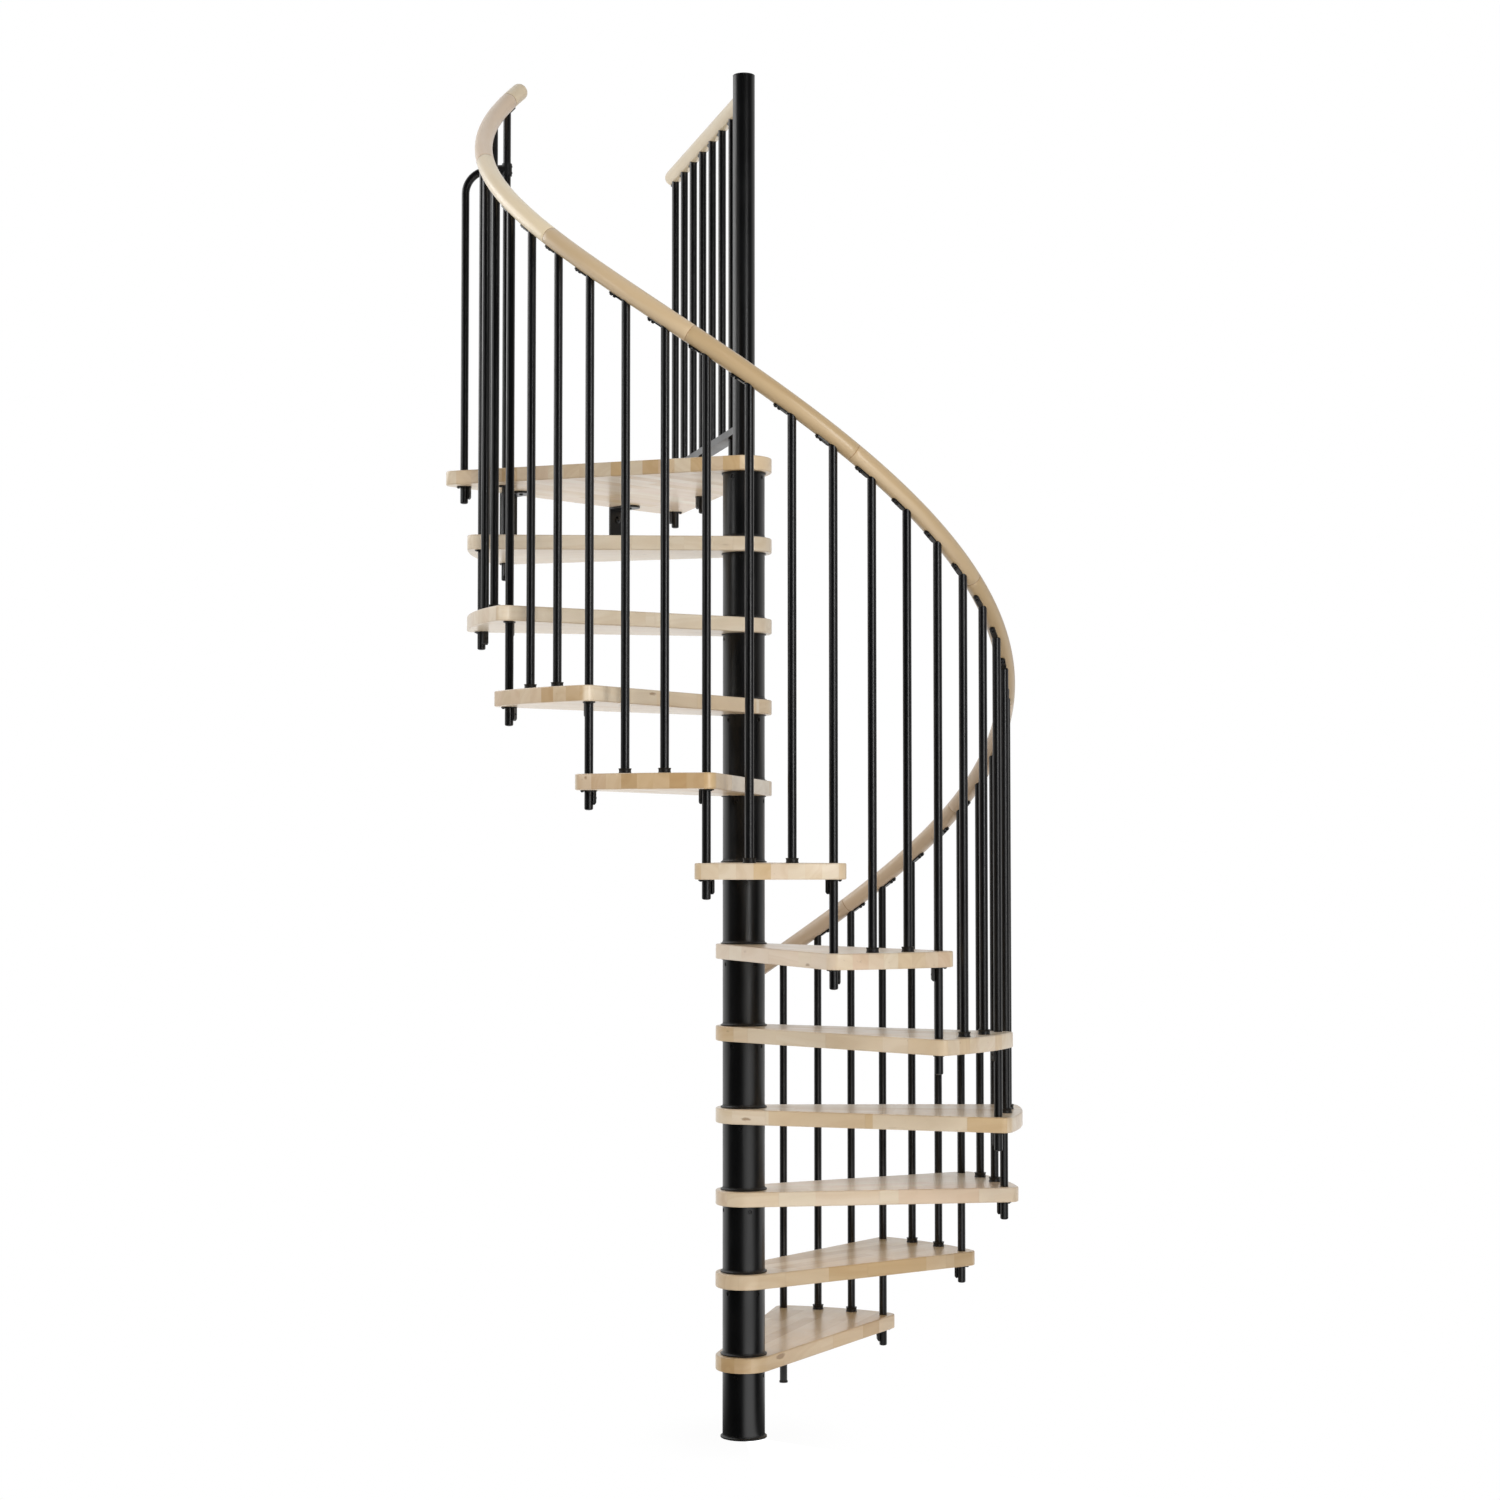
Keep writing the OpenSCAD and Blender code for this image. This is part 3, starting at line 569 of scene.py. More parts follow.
def glued_layout(tree):
    """Staves along X of the board's own axes, with a random start and a range of tones for each board."""
    where = put(tree, "TexCoord").outputs["Object"]
    board = put(tree, "ObjectInfo").outputs
    seed = calc(tree, "MULTIPLY", board["Random"], 50.0)
    glued = place_group(tree, staves, {"Place": where, "Piece Length": 0.27, "Seed": seed})
    strips = put(tree, "SeparateColor", {0: board["Color"]}).outputs
    tone = remap(tree, glued["Tone"], 0.0, 1.0, strips["Red"], strips["Green"], smooth=False)
    faces = put(tree, "SeparateXYZ", {0: put(tree, "TexCoord").outputs["Normal"]}).outputs["X"]
    across_grain = remap(tree, calc(tree, "ABSOLUTE", faces), 0.70, 0.95)
    thirst = calc(tree, "FRACT", calc(tree, "MULTIPLY", glued["Tone"], 5.7))
    soaked_share = calc(tree, "MULTIPLY_ADD", calc(tree, "MULTIPLY", thirst, thirst), 0.65, 0.35)
    end_grain = calc(tree, "MULTIPLY", across_grain, calc(tree, "MULTIPLY", soaked_share, strips["Blue"]))
    knot = stored(tree, "knot_place", "Vector", attribute_type="OBJECT")
    from_knot = put(tree, "VectorMath", {0: where, 1: knot}, operation="SUBTRACT").outputs[0]
    knot_gap = size_of(tree, stretched(tree, from_knot, 0.3))
    ragged = calc(tree, "MULTIPLY_ADD", stretched_noise(tree, where, 0.3, 300.0, 2.0), 0.006, knot_gap)
    growth = stored(tree, "knot_growth", attribute_type="OBJECT")
    marks = remap(tree, calc(tree, "SUBTRACT", ragged, growth), 0.0085, 0.0045)
    faint_seam = calc(tree, "MULTIPLY", glued["Seam"], 0.08)
    return where, glued["Grain Place"], tone, faint_seam, end_grain, marks


board_finish = wood_finish(
    "lacquered_boards", glued_layout,
    [(0.0, honey), (0.12, gold), (0.30, straw), (0.55, cream), (0.78, blush), (1.0, cream)], 0.34,
)

# %% [markdown]
# The rail is turned from single lengths of the same wood. Its grain has to follow the helix. The sweep below
# stores, at every point, how far along the rail it is and where it lies in the round section, and the grain
# is drawn in that straightened space. It also stores a tone for each length, and marks the glued joints.

# %% Finish: turned rail
def turned_layout(tree):
    """The place in the rail as if it were straight, with its length's tone and joints."""
    where = stored(tree, "straight_place", "Vector")
    tone = stored(tree, "tone")
    in_log = put(tree, "VectorMath", {0: where, 1: (0.0, 0.035, 0.022)}, operation="ADD").outputs[0]
    return where, in_log, tone, remap(tree, stored(tree, "joint"), 0.0, 0.45), 0.0, 0.0


rail_finish = wood_finish(
    "turned_rail", turned_layout,
    [(0.0, (0.55, 0.425, 0.305)), (0.04, (0.62, 0.48, 0.34)), (0.12, (0.45, 0.325, 0.18)),
     (0.35, (0.56, 0.425, 0.265)), (0.65, (0.72, 0.56, 0.405)), (1.0, (0.79, 0.665, 0.465))],
    0.28,
)

# %% [markdown]
# The steel is powder coated: black, satin, with a very fine orange peel. The Bevel normal rounds the sharp
# edges of the solids for the light, so that a bar's arris catches a thin highlight as a real one does.

# %% Finishes: coated steel and moulded plastic
grey_dust = (0.20, 0.19, 0.18)
relief_depth = 0.00006


def black_finish(name, base, worn, roughness, skin_scale, edge_radius):
    """Black coat or plastic, with fine skin, rounded edges, wear and a little dust."""
    material, tree, bsdf = new_finish(name)
    where = put(tree, "TexCoord").outputs["Object"]
    texture = place_group(tree, skin, {"Place": where, "Skin Scale": skin_scale, "Patch Scale": 7.0})
    rubbed = place_group(tree, wear, {"Radius": edge_radius})
    settled = place_group(tree, dust, {"Amount": 0.05})

    colour = shaded(tree, texture["Patches"], 0.35, base, tuple(1.6 * v for v in base))
    colour = shaded(tree, rubbed["Mask"], 0.5, colour, worn)
    colour = tint(tree, settled["Mask"], colour, grey_dust)
    tree.links.new(colour, bsdf["Base Color"])
    tree.links.new(calc(tree, "MULTIPLY_ADD", texture["Patches"], 0.08, roughness), bsdf["Roughness"])
    soft_edge = put(tree, "Bevel", {"Radius": edge_radius}, samples=4).outputs[0]
    relief = put(tree, "Bump", {"Strength": 0.10, "Distance": relief_depth, "Height": texture["Height"],
                                "Normal": soft_edge})
    tree.links.new(relief.outputs[0], bsdf["Normal"])
    bsdf["Specular IOR Level"].default_value = 0.6
    print("finish:", name)
    return material


steel_finish = black_finish(
    "coated_steel", (0.0016, 0.0017, 0.0020), (0.010, 0.010, 0.011), 0.28, 650.0, 0.0008,
)
plastic_finish = black_finish(
    "moulded_plastic", (0.0018, 0.0018, 0.0020), (0.009, 0.009, 0.009), 0.42, 1400.0, 0.0006,
)

# %% Finish: screws
screw_finish, screw_tree, screw_bsdf = new_finish("black_zinc")
screw_place = put(screw_tree, "TexCoord").outputs["Object"]
screw_skin = place_group(screw_tree, skin, {"Place": screw_place, "Skin Scale": 2200.0, "Patch Scale": 160.0})
screw_wear = place_group(screw_tree, wear, {"Radius": 0.0004, "Breakup": 500.0})
dark_zinc = (0.03, 0.03, 0.032)
brown_zinc = (0.055, 0.054, 0.05)
bare_zinc = (0.30, 0.29, 0.27)
screw_colour = shaded(screw_tree, screw_skin["Patches"], 0.5, dark_zinc, brown_zinc)
screw_colour = tint(screw_tree, screw_wear["Mask"], screw_colour, bare_zinc)
screw_tree.links.new(screw_colour, screw_bsdf["Base Color"])
screw_dull = calc(screw_tree, "MULTIPLY_ADD", screw_skin["Patches"], 0.15, 0.30)
screw_tree.links.new(screw_dull, screw_bsdf["Roughness"])
screw_bump = {"Strength": 0.15, "Distance": 0.00005, "Height": screw_skin["Height"]}
screw_relief = put(screw_tree, "Bump", screw_bump)
screw_tree.links.new(screw_relief.outputs[0], screw_bsdf["Normal"])
screw_bsdf["Metallic"].default_value = 0.85
print("finish:", screw_finish.name)

# %% [markdown]
# Every solid that stays visible takes the finish of its material slot in the record.

# %% Dress the solids
finish_of_slot = {"tread_wood": board_finish, "rail_wood": rail_finish,
                  "black_steel": steel_finish, "black_plastic": plastic_finish}
for part in frame["record"]["subparts"]:
    mesh = frame["nodes"][part["node"]].data
    mesh.materials.clear()
    mesh.materials.append(finish_of_slot[part["material_slot"]])


# %% [markdown]
# ## Boards
# A tread's plan is four arcs that run into each other: the hub, two corners and the outer arc. Each point of
# the plan is kept with its outward direction, so the same plan drawn in by a small distance gives the next
# ring of the rounded edge. Stacked rings make the side with its two rounded arrises, and a flat cap with
# holes closes the top and the bottom. A Bevel modifier on the solid would need a clean mesh, which it doesn't
# have.

# %% Plan of a board
quarter = math.pi / 2
full_turn = 4 * quarter
hub_r = 0.076
tread_r = 0.749
corner_r = 0.027
post_margin = 0.028
corner_spacing = 0.004
hub_spacing = 0.006
rim_spacing = 0.008


def towards(angle):
    """The unit step in a direction of the plan."""
    return Vector((math.cos(angle), math.sin(angle)))


def arc(centre, radius, start, end, spacing):
    """Points along an arc with their outward directions."""
    steps = max(2, round(abs(end - start) * radius / spacing))
    outward = [towards(start + (end - start) * i / steps) for i in range(steps + 1)]
    return [(Vector(centre) + radius * o, o) for o in outward]


def beside(angle, along, out):
    """A point by its distance along a board's side and out from the middle."""
    return along * towards(angle) + out * towards(angle + quarter)


def tread_plan():
    """Plan of a tread about +X."""
    a = step_turn / 2 - math.asin((hub_r - post_margin) / post_circle)
    reach = math.sqrt((tread_r - corner_r) ** 2 - (hub_r - corner_r) ** 2)
    corner = beside(a, reach, hub_r - corner_r)
    below = Vector((corner.x, -corner.y))
    c = math.atan2(corner.y, corner.x)
    return (arc((0, 0), tread_r, -c, c, rim_spacing)
            + arc(corner, corner_r, c, quarter + a, corner_spacing)[1:]
            + arc((0, 0), hub_r, quarter + a, 3 * quarter - a, hub_spacing)
            + arc(below, corner_r, 3 * quarter - a, full_turn - c, corner_spacing)[:-1])


print("points in a tread's plan:", len(tread_plan()))


# %% Board from its plan
def ring_of(bm, points, z):
    """A closed ring of vertices."""
    return [bm.verts.new((p.x, p.y, z)) for p in points]


def pairs_round(ring):
    """Each vertex of a ring with the next one."""
    return zip(ring, ring[1:] + ring[:1])


def bridge(bm, lower, upper):
    """Smooth faces between two rings of the same length, or between a ring and a single point."""
    if len(lower) == len(upper):
        corners = [(a, b, d, c) for (a, b), (c, d) in zip(pairs_round(lower), pairs_round(upper))]
    else:
        (tip,), ring = sorted((lower, upper), key=len)
        corners = [(a, b, tip) for a, b in pairs_round(ring)]
    faces = [bm.faces.new(c) for c in corners]
    for face in faces:
        face.smooth = True
    return faces


def bridge_all(bm, rings):
    """Faces between each ring and the next."""
    for lower, upper in zip(rings, rings[1:]):
        bridge(bm, lower, upper)


def ring_edges(bm, ring):
    """The edges round a ring."""
    return [bm.edges.get(pair) or bm.edges.new(pair) for pair in pairs_round(ring)]


def finished_mesh(bm, name, sharp_degrees=40):
    """A mesh from its faces, with edges over an angle kept sharp."""
    bmesh.ops.recalc_face_normals(bm, faces=bm.faces)
    mesh = bpy.data.meshes.new(name)
    bm.to_mesh(mesh)
    bm.free()
    mesh.set_sharp_from_angle(angle=math.radians(sharp_degrees))
    return mesh


arris_r = 0.0035
arris_steps = 4
cap_border = 0.002
hole_ease = 0.0008


def board_mesh(name, plan, holes, thickness):
    """A board below z = 0 with rounded arrises and eased holes. Each hole is a centre and a radius."""
    bm = bmesh.new()
    # The arris mask marks the rounded edges, where the board finish paints a little shade.
    arris = bm.faces.layers.float.new("arris")
    turns = [quarter * i / arris_steps for i in range(arris_steps + 1)]
    top = [(arris_r * (1 - math.cos(t)), -arris_r * (1 - math.sin(t))) for t in turns]
    bottom = [(inset, -thickness - z) for inset, z in reversed(top)]
    levels = [(arris_r + cap_border, -thickness)] + bottom + top + [(arris_r + cap_border, 0.0)]
    rings = [ring_of(bm, [p - inset * out for p, out in plan], z) for inset, z in levels]
    for i, (lower, upper) in enumerate(zip(rings, rings[1:])):
        on_arris = 1 <= i <= arris_steps or len(rings) - 2 - arris_steps <= i <= len(rings) - 3
        for face in bridge(bm, lower, upper):
            face[arris] = float(on_arris)

    cap_rings = {0.0: [rings[-1]], -thickness: [rings[0]]}
    for centre, radius in holes:
        eased = [(radius + hole_ease, 0.0), (radius, -hole_ease), (radius, hole_ease - thickness),
                 (radius + hole_ease, -thickness)]
        rim = arc(centre, radius + hole_ease, 0, full_turn, corner_spacing)[:-1]
        around = [ring_of(bm, [Vector(centre) + r * o for _, o in rim], z) for r, z in eased]
        bridge_all(bm, around)
        cap_rings[0.0].append(around[0])
        cap_rings[-thickness].append(around[-1])
    for bounds in cap_rings.values():
        edges = [e for ring in bounds for e in ring_edges(bm, ring)]
        bmesh.ops.triangle_fill(bm, use_beauty=True, use_dissolve=False, edges=edges)
    return finished_mesh(bm, name)


def add_piece(name, mesh, finish, stands_for=()):
    """Puts a finished piece into the scene and the solids that it stands for."""
    mesh.materials.append(finish)
    piece = bpy.data.objects.new(name, mesh)
    scene.collection.objects.link(piece)
    if stands_for:
        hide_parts(*stands_for)
    return piece


# %% [markdown]
# All treads share one mesh. Each is an object of its own, turned about the pole and lifted to its level, so
# its own axes give the direction of its staves, and the finish takes a different random start for each. Some
# treads were glued from paler strips than others: red and green of the object's colour carry the two ends of
# its strips' range of tones, and blue says how much its end grain has soaked up. A few have a knot in the
# edge, and the lowest tread's knot is the largest.

# %% Treads
pole_hole_r = 0.03045
post_clearance = 0.0003
post_hole_r = baluster_r + post_clearance
half_step = step_turn / 2
tread_holes = [((0, 0), pole_hole_r)]
tread_holes += [(post_circle * towards(side * half_step), post_hole_r) for side in (-1, 1)]
strip_tones = ((0.0, 0.27, 0.4), (0.0, 0.30, 0.4), (0.3, 1.0, 0.3), (0.1, 0.7, 0.3), (0.1, 0.7, 0.2),
               (0.25, 0.9, 0.3), (0.12, 0.7, 0.2), (0.05, 0.7, 1.0), (0.2, 0.7, 1.0), (0.48, 0.64, 0.4),
               (0.48, 0.64, 0.3))
landing_tones = (0.05, 0.9, 0.6)
knot_places = {1: (0.055, -0.0855, -0.011), 4: (0.017, -0.080, -0.024), 6: (0.595, -0.169, -0.032),
               8: (0.7345, -0.1465, -0.010), 9: (0.473, 0.150, -0.010)}
knot_growth = {1: 0.004}
tread_mesh = board_mesh("tread_board", tread_plan(), tread_holes, tread_t)
for n in range(1, tread_count + 1):
    tread = bpy.data.objects.new(f"tread_board_{n:02d}", tread_mesh)
    tread.matrix_world = Matrix.Translation((0, 0, n * riser)) @ Matrix.Rotation(tread_turn(n), 4, "Z")
    tread.color = (*strip_tones[n - 1], 1)
    if n in knot_places:
        tread["knot_place"] = knot_places[n]
        tread["knot_growth"] = knot_growth.get(n, 0.0)
    scene.collection.objects.link(tread)
    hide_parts(f"tread_{n:02d}")
    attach(tread, "root")
tread_mesh.materials.append(board_finish)
print("treads:", tread_count, "with", len(tread_mesh.polygons), "faces each")

# %% [markdown]
# The landing is made in the same way. Its staves run along its straight outer edge, which the bands of
# colour on its sides show.

# %% Landing
landing_half = math.radians(26.3)
landing_corner_r = 0.025


def landing_plan():
    """Plan of the landing, towards +Y."""
    a, r = landing_half, landing_corner_r
    reach = (landing_edge - r + (hub_r - r) * math.sin(a)) / math.cos(a)
    corner = beside(a, reach, hub_r - r)
    below = Vector((corner.x, -corner.y))
    about_x = (arc(corner, r, 0, quarter + a, corner_spacing)
               + arc((0, 0), hub_r, quarter + a, 3 * quarter - a, hub_spacing)
               + arc(below, r, 3 * quarter - a, full_turn, corner_spacing))
    return [(Vector((-p.y, p.x)), Vector((-o.y, o.x))) for p, o in about_x]


last_post = post_matrix(post_count).translation.to_2d()
hoop_angle = math.radians(90 + 38.3)
hoop_reach = 0.1196
hoop_leg = last_post + hoop_reach * towards(hoop_angle)
long_posts = (0, 3, 6)
railing_posts = [railing_matrix(railing_first + i * railing_pitch, 0).translation.to_2d() for i in long_posts]
landing_holes = [((0, 0), pole_hole_r)] + [(p, post_hole_r) for p in [last_post, hoop_leg, *railing_posts]]
landing = add_piece("landing_board", board_mesh("landing_board", landing_plan(), landing_holes, tread_t),
                    board_finish, ["landing"])
landing.location.z = landing_top
landing.color = (*landing_tones, 1)
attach(landing, "root")
print("landing:", len(landing.data.polygons), "faces")


# %% [markdown]
# ## The handrail
# A helical rail is the piece that takes a joiner the most skill: every length is bent or carved to the
# helix, and the ends are cut square to its slope so that the joints close. It is made here as a sweep: a
# round section is carried along the helix, square to it, and the rings are joined. At each joint the section
# is drawn in by about half a millimetre, which leaves the fine dark line that a glued joint shows.

# %% Sweep of a rail
rail_sides = 40
rail_spacing = 0.012
rail_round = 0.014
dome_steps = 6
joint_groove = 0.0006
joint_width = 0.0012


def rail_mesh(name, axes_at, length, groove_ends, domed_ends, start_along, tone, cope_r=0.0):
    """A round rail. axes_at gives the matrix at a distance along it: X along, Y out, Z up.

    With cope_r, its start is hollowed to an upright round pole of that radius about the start point.
    """
    bm = bmesh.new()
    straight = bm.verts.layers.float_vector.new("straight_place")
    tone_layer = bm.verts.layers.float.new("tone")
    joint_layer = bm.verts.layers.float.new("joint")
    stations = []
    for domed, grooved in zip(domed_ends, groove_ends):
        marks = [(0.0, rail_r)]
        if domed:
            turns = [quarter * i / dome_steps for i in range(dome_steps, -1, -1)]
            marks = [(rail_round * (1 - math.sin(t)), rail_r - rail_round * (1 - math.cos(t))) for t in turns]
        elif grooved:
            marks = [(0.0, rail_r - joint_groove), (joint_width, rail_r)]
        stations.append(marks)
    first, last = max(stations[0][-1][0], cope_r), length - stations[1][-1][0]
    steps = max(1, round((last - first) / rail_spacing))
    middle = [(first + (last - first) * i / steps, rail_r) for i in range(1, steps)]
    profile = stations[0] + middle + [(length - d, r) for d, r in reversed(stations[1])]
    rings = []
    for d, r in profile:
        axes = axes_at(d)
        ring = []
        for i in range(rail_sides):
            out, up = r * towards(full_turn * i / rail_sides)
            hollow = math.sqrt(cope_r ** 2 - out ** 2) if cope_r and not rings else 0.0
            vert = bm.verts.new(axes @ Vector((hollow, out, up)))
            vert[straight] = (start_along + d + hollow, out, up)
            vert[tone_layer] = tone
            vert[joint_layer] = float(rail_r - joint_groove - r == 0)
            ring.append(vert)
        rings.append(ring)
    bridge_all(bm, rings)
    bm.faces.new(reversed(rings[0]))
    bm.faces.new(rings[-1])
    return finished_mesh(bm, name)


# %% Helical pieces
def helix_from(start):
    """Gives the rail's axes by the distance along a piece that starts at an angle."""
    return lambda d: rail_matrix((start + d / metres_per_radian) / post_turn)


metres_per_radian = math.hypot(post_circle, post_rise / post_turn)
start_overrun = math.radians(9.3)
end_overrun = math.radians(7.0)
first_joint = math.radians(16.1)
piece_turn = math.radians(33)
rail_pieces = sum(name.startswith("handrail_") for name in frame["nodes"])
rail_tones = (0.0, 0.04, 0.03, 0.12, 0.22, 0.12, 0.33, 1.00, 0.65, 0.95)
grain_step = 3.0
cuts = ([-start_overrun] + [first_joint + i * piece_turn for i in range(rail_pieces - 1)]
        + [post_count * post_turn + end_overrun])
for i, (start, end) in enumerate(zip(cuts, cuts[1:])):
    ends = (i == 0, i == rail_pieces - 1)
    length = (end - start) * metres_per_radian
    mesh = rail_mesh(f"rail_piece_{i + 1:02d}", helix_from(start), length, (not ends[0], not ends[1]), ends,
                     grain_step * i, rail_tones[i % len(rail_tones)])
    rail = add_piece(f"rail_piece_{i + 1:02d}", mesh, rail_finish, [f"handrail_{i + 1:02d}"])
    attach(rail, "root")
print("rail pieces:", rail_pieces, "from joint to joint", round(piece_turn * metres_per_radian, 3), "m")

# %% Straight rail of the landing
railing_overrun = 0.050
railing_end = railing_last + railing_overrun
railing_grain = 40.0
railing_tone = 1.0
mesh = rail_mesh("railing_top", lambda d: railing_matrix(d, railing_z), railing_end, (False, False),
                 (False, True), railing_grain, railing_tone, pole_hole_r)
railing_top = add_piece("railing_top", mesh, rail_finish, ["landing_handrail"])
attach(railing_top, "root")
print("railing top:", round(railing_end, 3), "m")


# %% [markdown]
# ## Screws and plugs
# Small hardware tells the size of things. A screw head is a low dome with a recess, made by turning a profile
# and pulling a star of points down in its middle: a cross for the wood screws, a hexagon for the set screws.
# All pieces of one kind are one mesh.

# %% Turned shapes
def ring_at(bm, matrix, points, z):
    """A ring of vertices at one height of a matrix's own axes."""
    return [bm.verts.new(matrix @ Vector((p.x, p.y, z))) for p in points]


def turned(bm, matrix, profile, sides=28):
    """A solid turned about Z from pairs of radius and height, with a point where the radius is 0."""
    rings = []
    for r, z in profile:
        spots = [full_turn * i / sides for i in range(sides)] if r else [0.0]
        rings.append(ring_at(bm, matrix, [r * towards(a) for a in spots], z))
    bridge_all(bm, rings)


def recessed(bm, matrix, radius, height, recess, profile):
    """A screw head on z = 0, with a recess that is given by its radius in each direction."""
    ways = [towards(full_turn * i / head_sides) for i in range(head_sides)]
    rings = [ring_at(bm, matrix, [r * radius * way for way in ways], z * height) for r, z in profile]
    for z in (1.0, recess_floor):
        star = [r * radius * way for r, way in zip(recess, ways)]
        rings.append(ring_at(bm, matrix, star, z * height))
    bridge_all(bm, rings)
    bm.faces.new(rings[-1])


head_sides = 24
recess_floor = 0.3
cross = [(0.50, 0.30, 0.19, 0.15, 0.19, 0.30)[i % 6] for i in range(head_sides)]
hexagon = [0.46 / math.cos(math.radians((15 * i) % 60 - 30)) for i in range(head_sides)]
pan = [(1.0, 0.0), (1.0, 0.35), (0.92, 0.68), (0.74, 0.90), (0.60, 1.0)]
flat_end = [(1.0, 0.0), (1.0, 0.75), (0.88, 1.0), (0.66, 1.0)]


def cross_head(radius, height):
    """Makes a pan head with a cross."""
    return lambda bm, matrix: recessed(bm, matrix, radius, height, cross, pan)


def hex_end(radius, height):
    """Makes the flat end of a set screw with a hexagon."""
    return lambda bm, matrix: recessed(bm, matrix, radius, height, hexagon, flat_end)


def turned_from(profile):
    """Makes a turned piece."""
    return lambda bm, matrix: turned(bm, matrix, profile)


def hardware(name, matrices, make, finish):
    """One mesh of many like pieces, each made at its own matrix."""
    bm = bmesh.new()
    for matrix in matrices:
        make(bm, matrix)
    mesh = finished_mesh(bm, name, 35)
    piece = add_piece(name, mesh, finish)
    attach(piece, "root")
    print(name, len(matrices), "pieces,", len(mesh.polygons), "faces")


def turn_z(angle):
    """A turn about the upright."""
    return Matrix.Rotation(angle, 4, "Z")


def shift_by(x, y, z):
    """A move along a matrix's own axes."""
    return Matrix.Translation((x, y, z))


upside_down = Matrix.Rotation(math.pi, 4, "X")
face_x = Matrix.Rotation(quarter, 4, "Y")
face_minus_y = Matrix.Rotation(quarter, 4, "X")

# %% [markdown]
# Under the rail, two pan heads hold each bracket strip to the wood.

# %% Rail screws
bracket_gap = 0.0002
bracket_t = 0.0035
bracket_under = rail_r + bracket_gap + bracket_t
screw_spots = (0.020, 0.031)
rail_screws = [rail_matrix(k) @ shift_by(x, 0, -bracket_under) @ upside_down
               for k in range(post_count + 1) for x in screw_spots]
rail_screws += [railing_matrix(railing_first + i * railing_pitch + x, railing_z - bracket_under) @ upside_down
                for i in range(railing_count) for x in screw_spots]
hardware("rail_screws", rail_screws, cross_head(0.0043, 0.0034), screw_finish)

# %% [markdown]
# Each long post is held below the tread by a clip. A wood screw goes up through its flange, and a set screw
# in its tongue bites on the post. The tube's open lower end is closed by a domed plug.

# %% Clip screws and tube plugs
clip_turn = math.radians(40)
clip_t = 0.003
tongue_reach = 0.007
tongue_face = post_hole_r + tongue_reach
post_tail = 0.045
flange_screw = 0.0162
set_screw_drop = 0.019


def under_tread(n):
    """Height of a tread's underside."""
    return n * riser - tread_t


under_landing = under_tread(tread_count + 1)
hoop_axes = Matrix.Translation((*hoop_leg, 0)) @ turn_z(hoop_angle + math.pi)
railing_clips = [railing_matrix(railing_first + i * railing_pitch, under_landing) @ turn_z(quarter)
                 for i in long_posts]
hoop_clip = Matrix.Translation((0, 0, under_landing)) @ hoop_axes
lower_clips = [post_matrix((n - 1) * per_step, under_tread(n)) @ turn_z(-clip_turn)
               for n in range(1, tread_count + 2)]
upper_clips = [post_matrix(n * per_step, under_tread(n)) @ turn_z(math.pi + clip_turn)
               for n in range(1, tread_count + 1)]
clips = lower_clips + upper_clips + railing_clips + [hoop_clip]
hardware("clip_screws", [m @ shift_by(-flange_screw, 0, -clip_t) @ upside_down for m in clips],
         cross_head(0.0036, 0.0022), screw_finish)
hardware("clip_set_screws", [m @ shift_by(tongue_face, 0, -set_screw_drop) @ face_x for m in clips],
         hex_end(0.0030, 0.0012), screw_finish)

plug = [(0.0, -0.001), (0.86, -0.001), (0.97, 0.0), (0.97, 0.0012), (0.90, 0.0026), (0.66, 0.0038),
        (0.34, 0.0044), (0.0, 0.0046)]
tube_plug = [(r * baluster_r, z) for r, z in plug]
tails = upper_clips + railing_clips + [hoop_clip]
hardware("tube_plugs", [m @ shift_by(0, 0, -post_tail) @ upside_down for m in tails],
         turned_from(tube_plug), plastic_finish)

# %% [markdown]
# Four holes near the top of each spacer give a key access to the screws that fix the bush to the pole. Their
# ends are seen as a dark glint inside the hole.

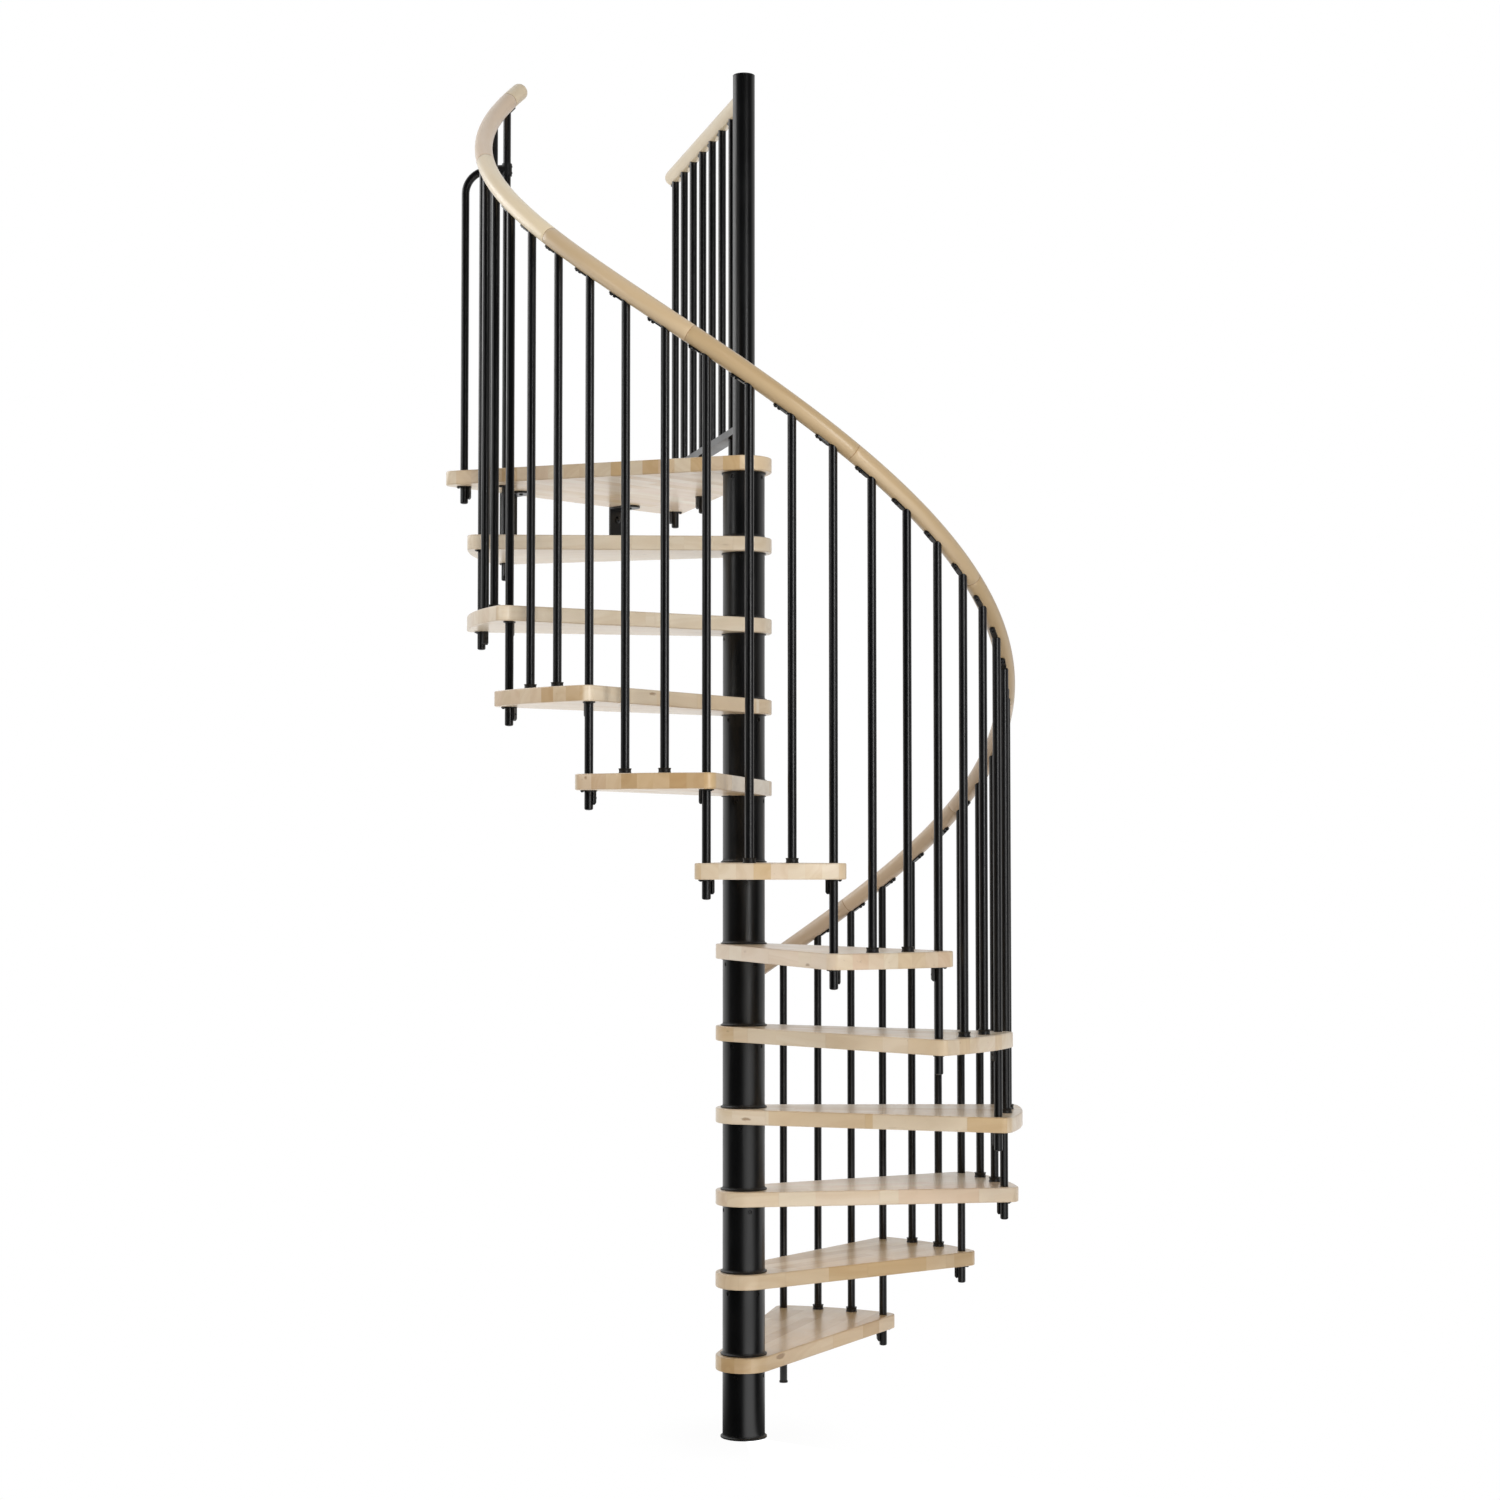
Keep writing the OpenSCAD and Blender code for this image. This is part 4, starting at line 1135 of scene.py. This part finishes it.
# %% Bush screws
bush_r = 0.0542
lip_t = 0.0025
key_hole_drop = 0.012
key_hole_z = riser - tread_t - lip_t - key_hole_drop
bush_screws = [Matrix.Translation((0, 0, n * riser + key_hole_z)) @ turn_z(tread_turn(n + 1) + i * quarter)
               @ shift_by(bush_r, 0, 0) @ face_x for n in range(tread_count + 1) for i in range(4)]
hardware("bush_screws", bush_screws, hex_end(0.0046, 0.0016), screw_finish)

# %% [markdown]
# The start post stands on the floor in a thin ferrule. At the other end of the stair, two set screws hold the
# hoop's clamp, and the landing's brackets have their round-headed bolts and a wood screw each.

# %% Ferrule, clamp screws and bracket bolts
ferrule_wall = [(0.0, 0.0), (0.0016, 0.0), (0.0016, 0.0045), (0.0008, 0.0058), (0.0, 0.0058)]
ferrule = [(baluster_r + wall, z) for wall, z in ferrule_wall]
hardware("start_ferrule", [post_matrix(0)], turned_from(ferrule), plastic_finish)

clamp_low, clamp_high = (Vector(c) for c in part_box("hoop_clamp"))
clamp_z = (clamp_low.z + clamp_high.z) / 2
clamp_wall = 0.003
clamp_sunk = 0.0004
clamp_spots = (-0.009, 0.009)
clamp_face = hoop_reach + post_hole_r + clamp_wall - clamp_sunk
clamp_screws = [Matrix.Translation((0, 0, clamp_z + z)) @ hoop_axes @ shift_by(clamp_face, 0, 0) @ face_x
                for z in clamp_spots]
hardware("clamp_screws", clamp_screws, hex_end(0.0030, 0.0016), screw_finish)

hanger_spread = 0.418
hanger_t = 0.006
bolt_drops = (0.036, 0.096)
hanger_screw = 0.060
bolt_head = [(0.0, 0.0), (0.0105, 0.0), (0.0105, 0.0008), (0.0098, 0.0022), (0.0078, 0.0038),
             (0.0045, 0.0048), (0.0, 0.0051)]
hanger_sides = (-hanger_spread / 2, hanger_spread / 2)
hanger_bolts = [Matrix.Translation((x, landing_edge - hanger_t, under_landing - drop)) @ face_minus_y
                for x in hanger_sides for drop in bolt_drops]
hardware("hanger_bolts", hanger_bolts, turned_from(bolt_head), steel_finish)
hanger_screws = [Matrix.Translation((x, landing_edge - hanger_screw, under_landing - hanger_t)) @ upside_down
                 for x in hanger_sides]
hardware("hanger_screws", hanger_screws, cross_head(0.0058, 0.0034), screw_finish)
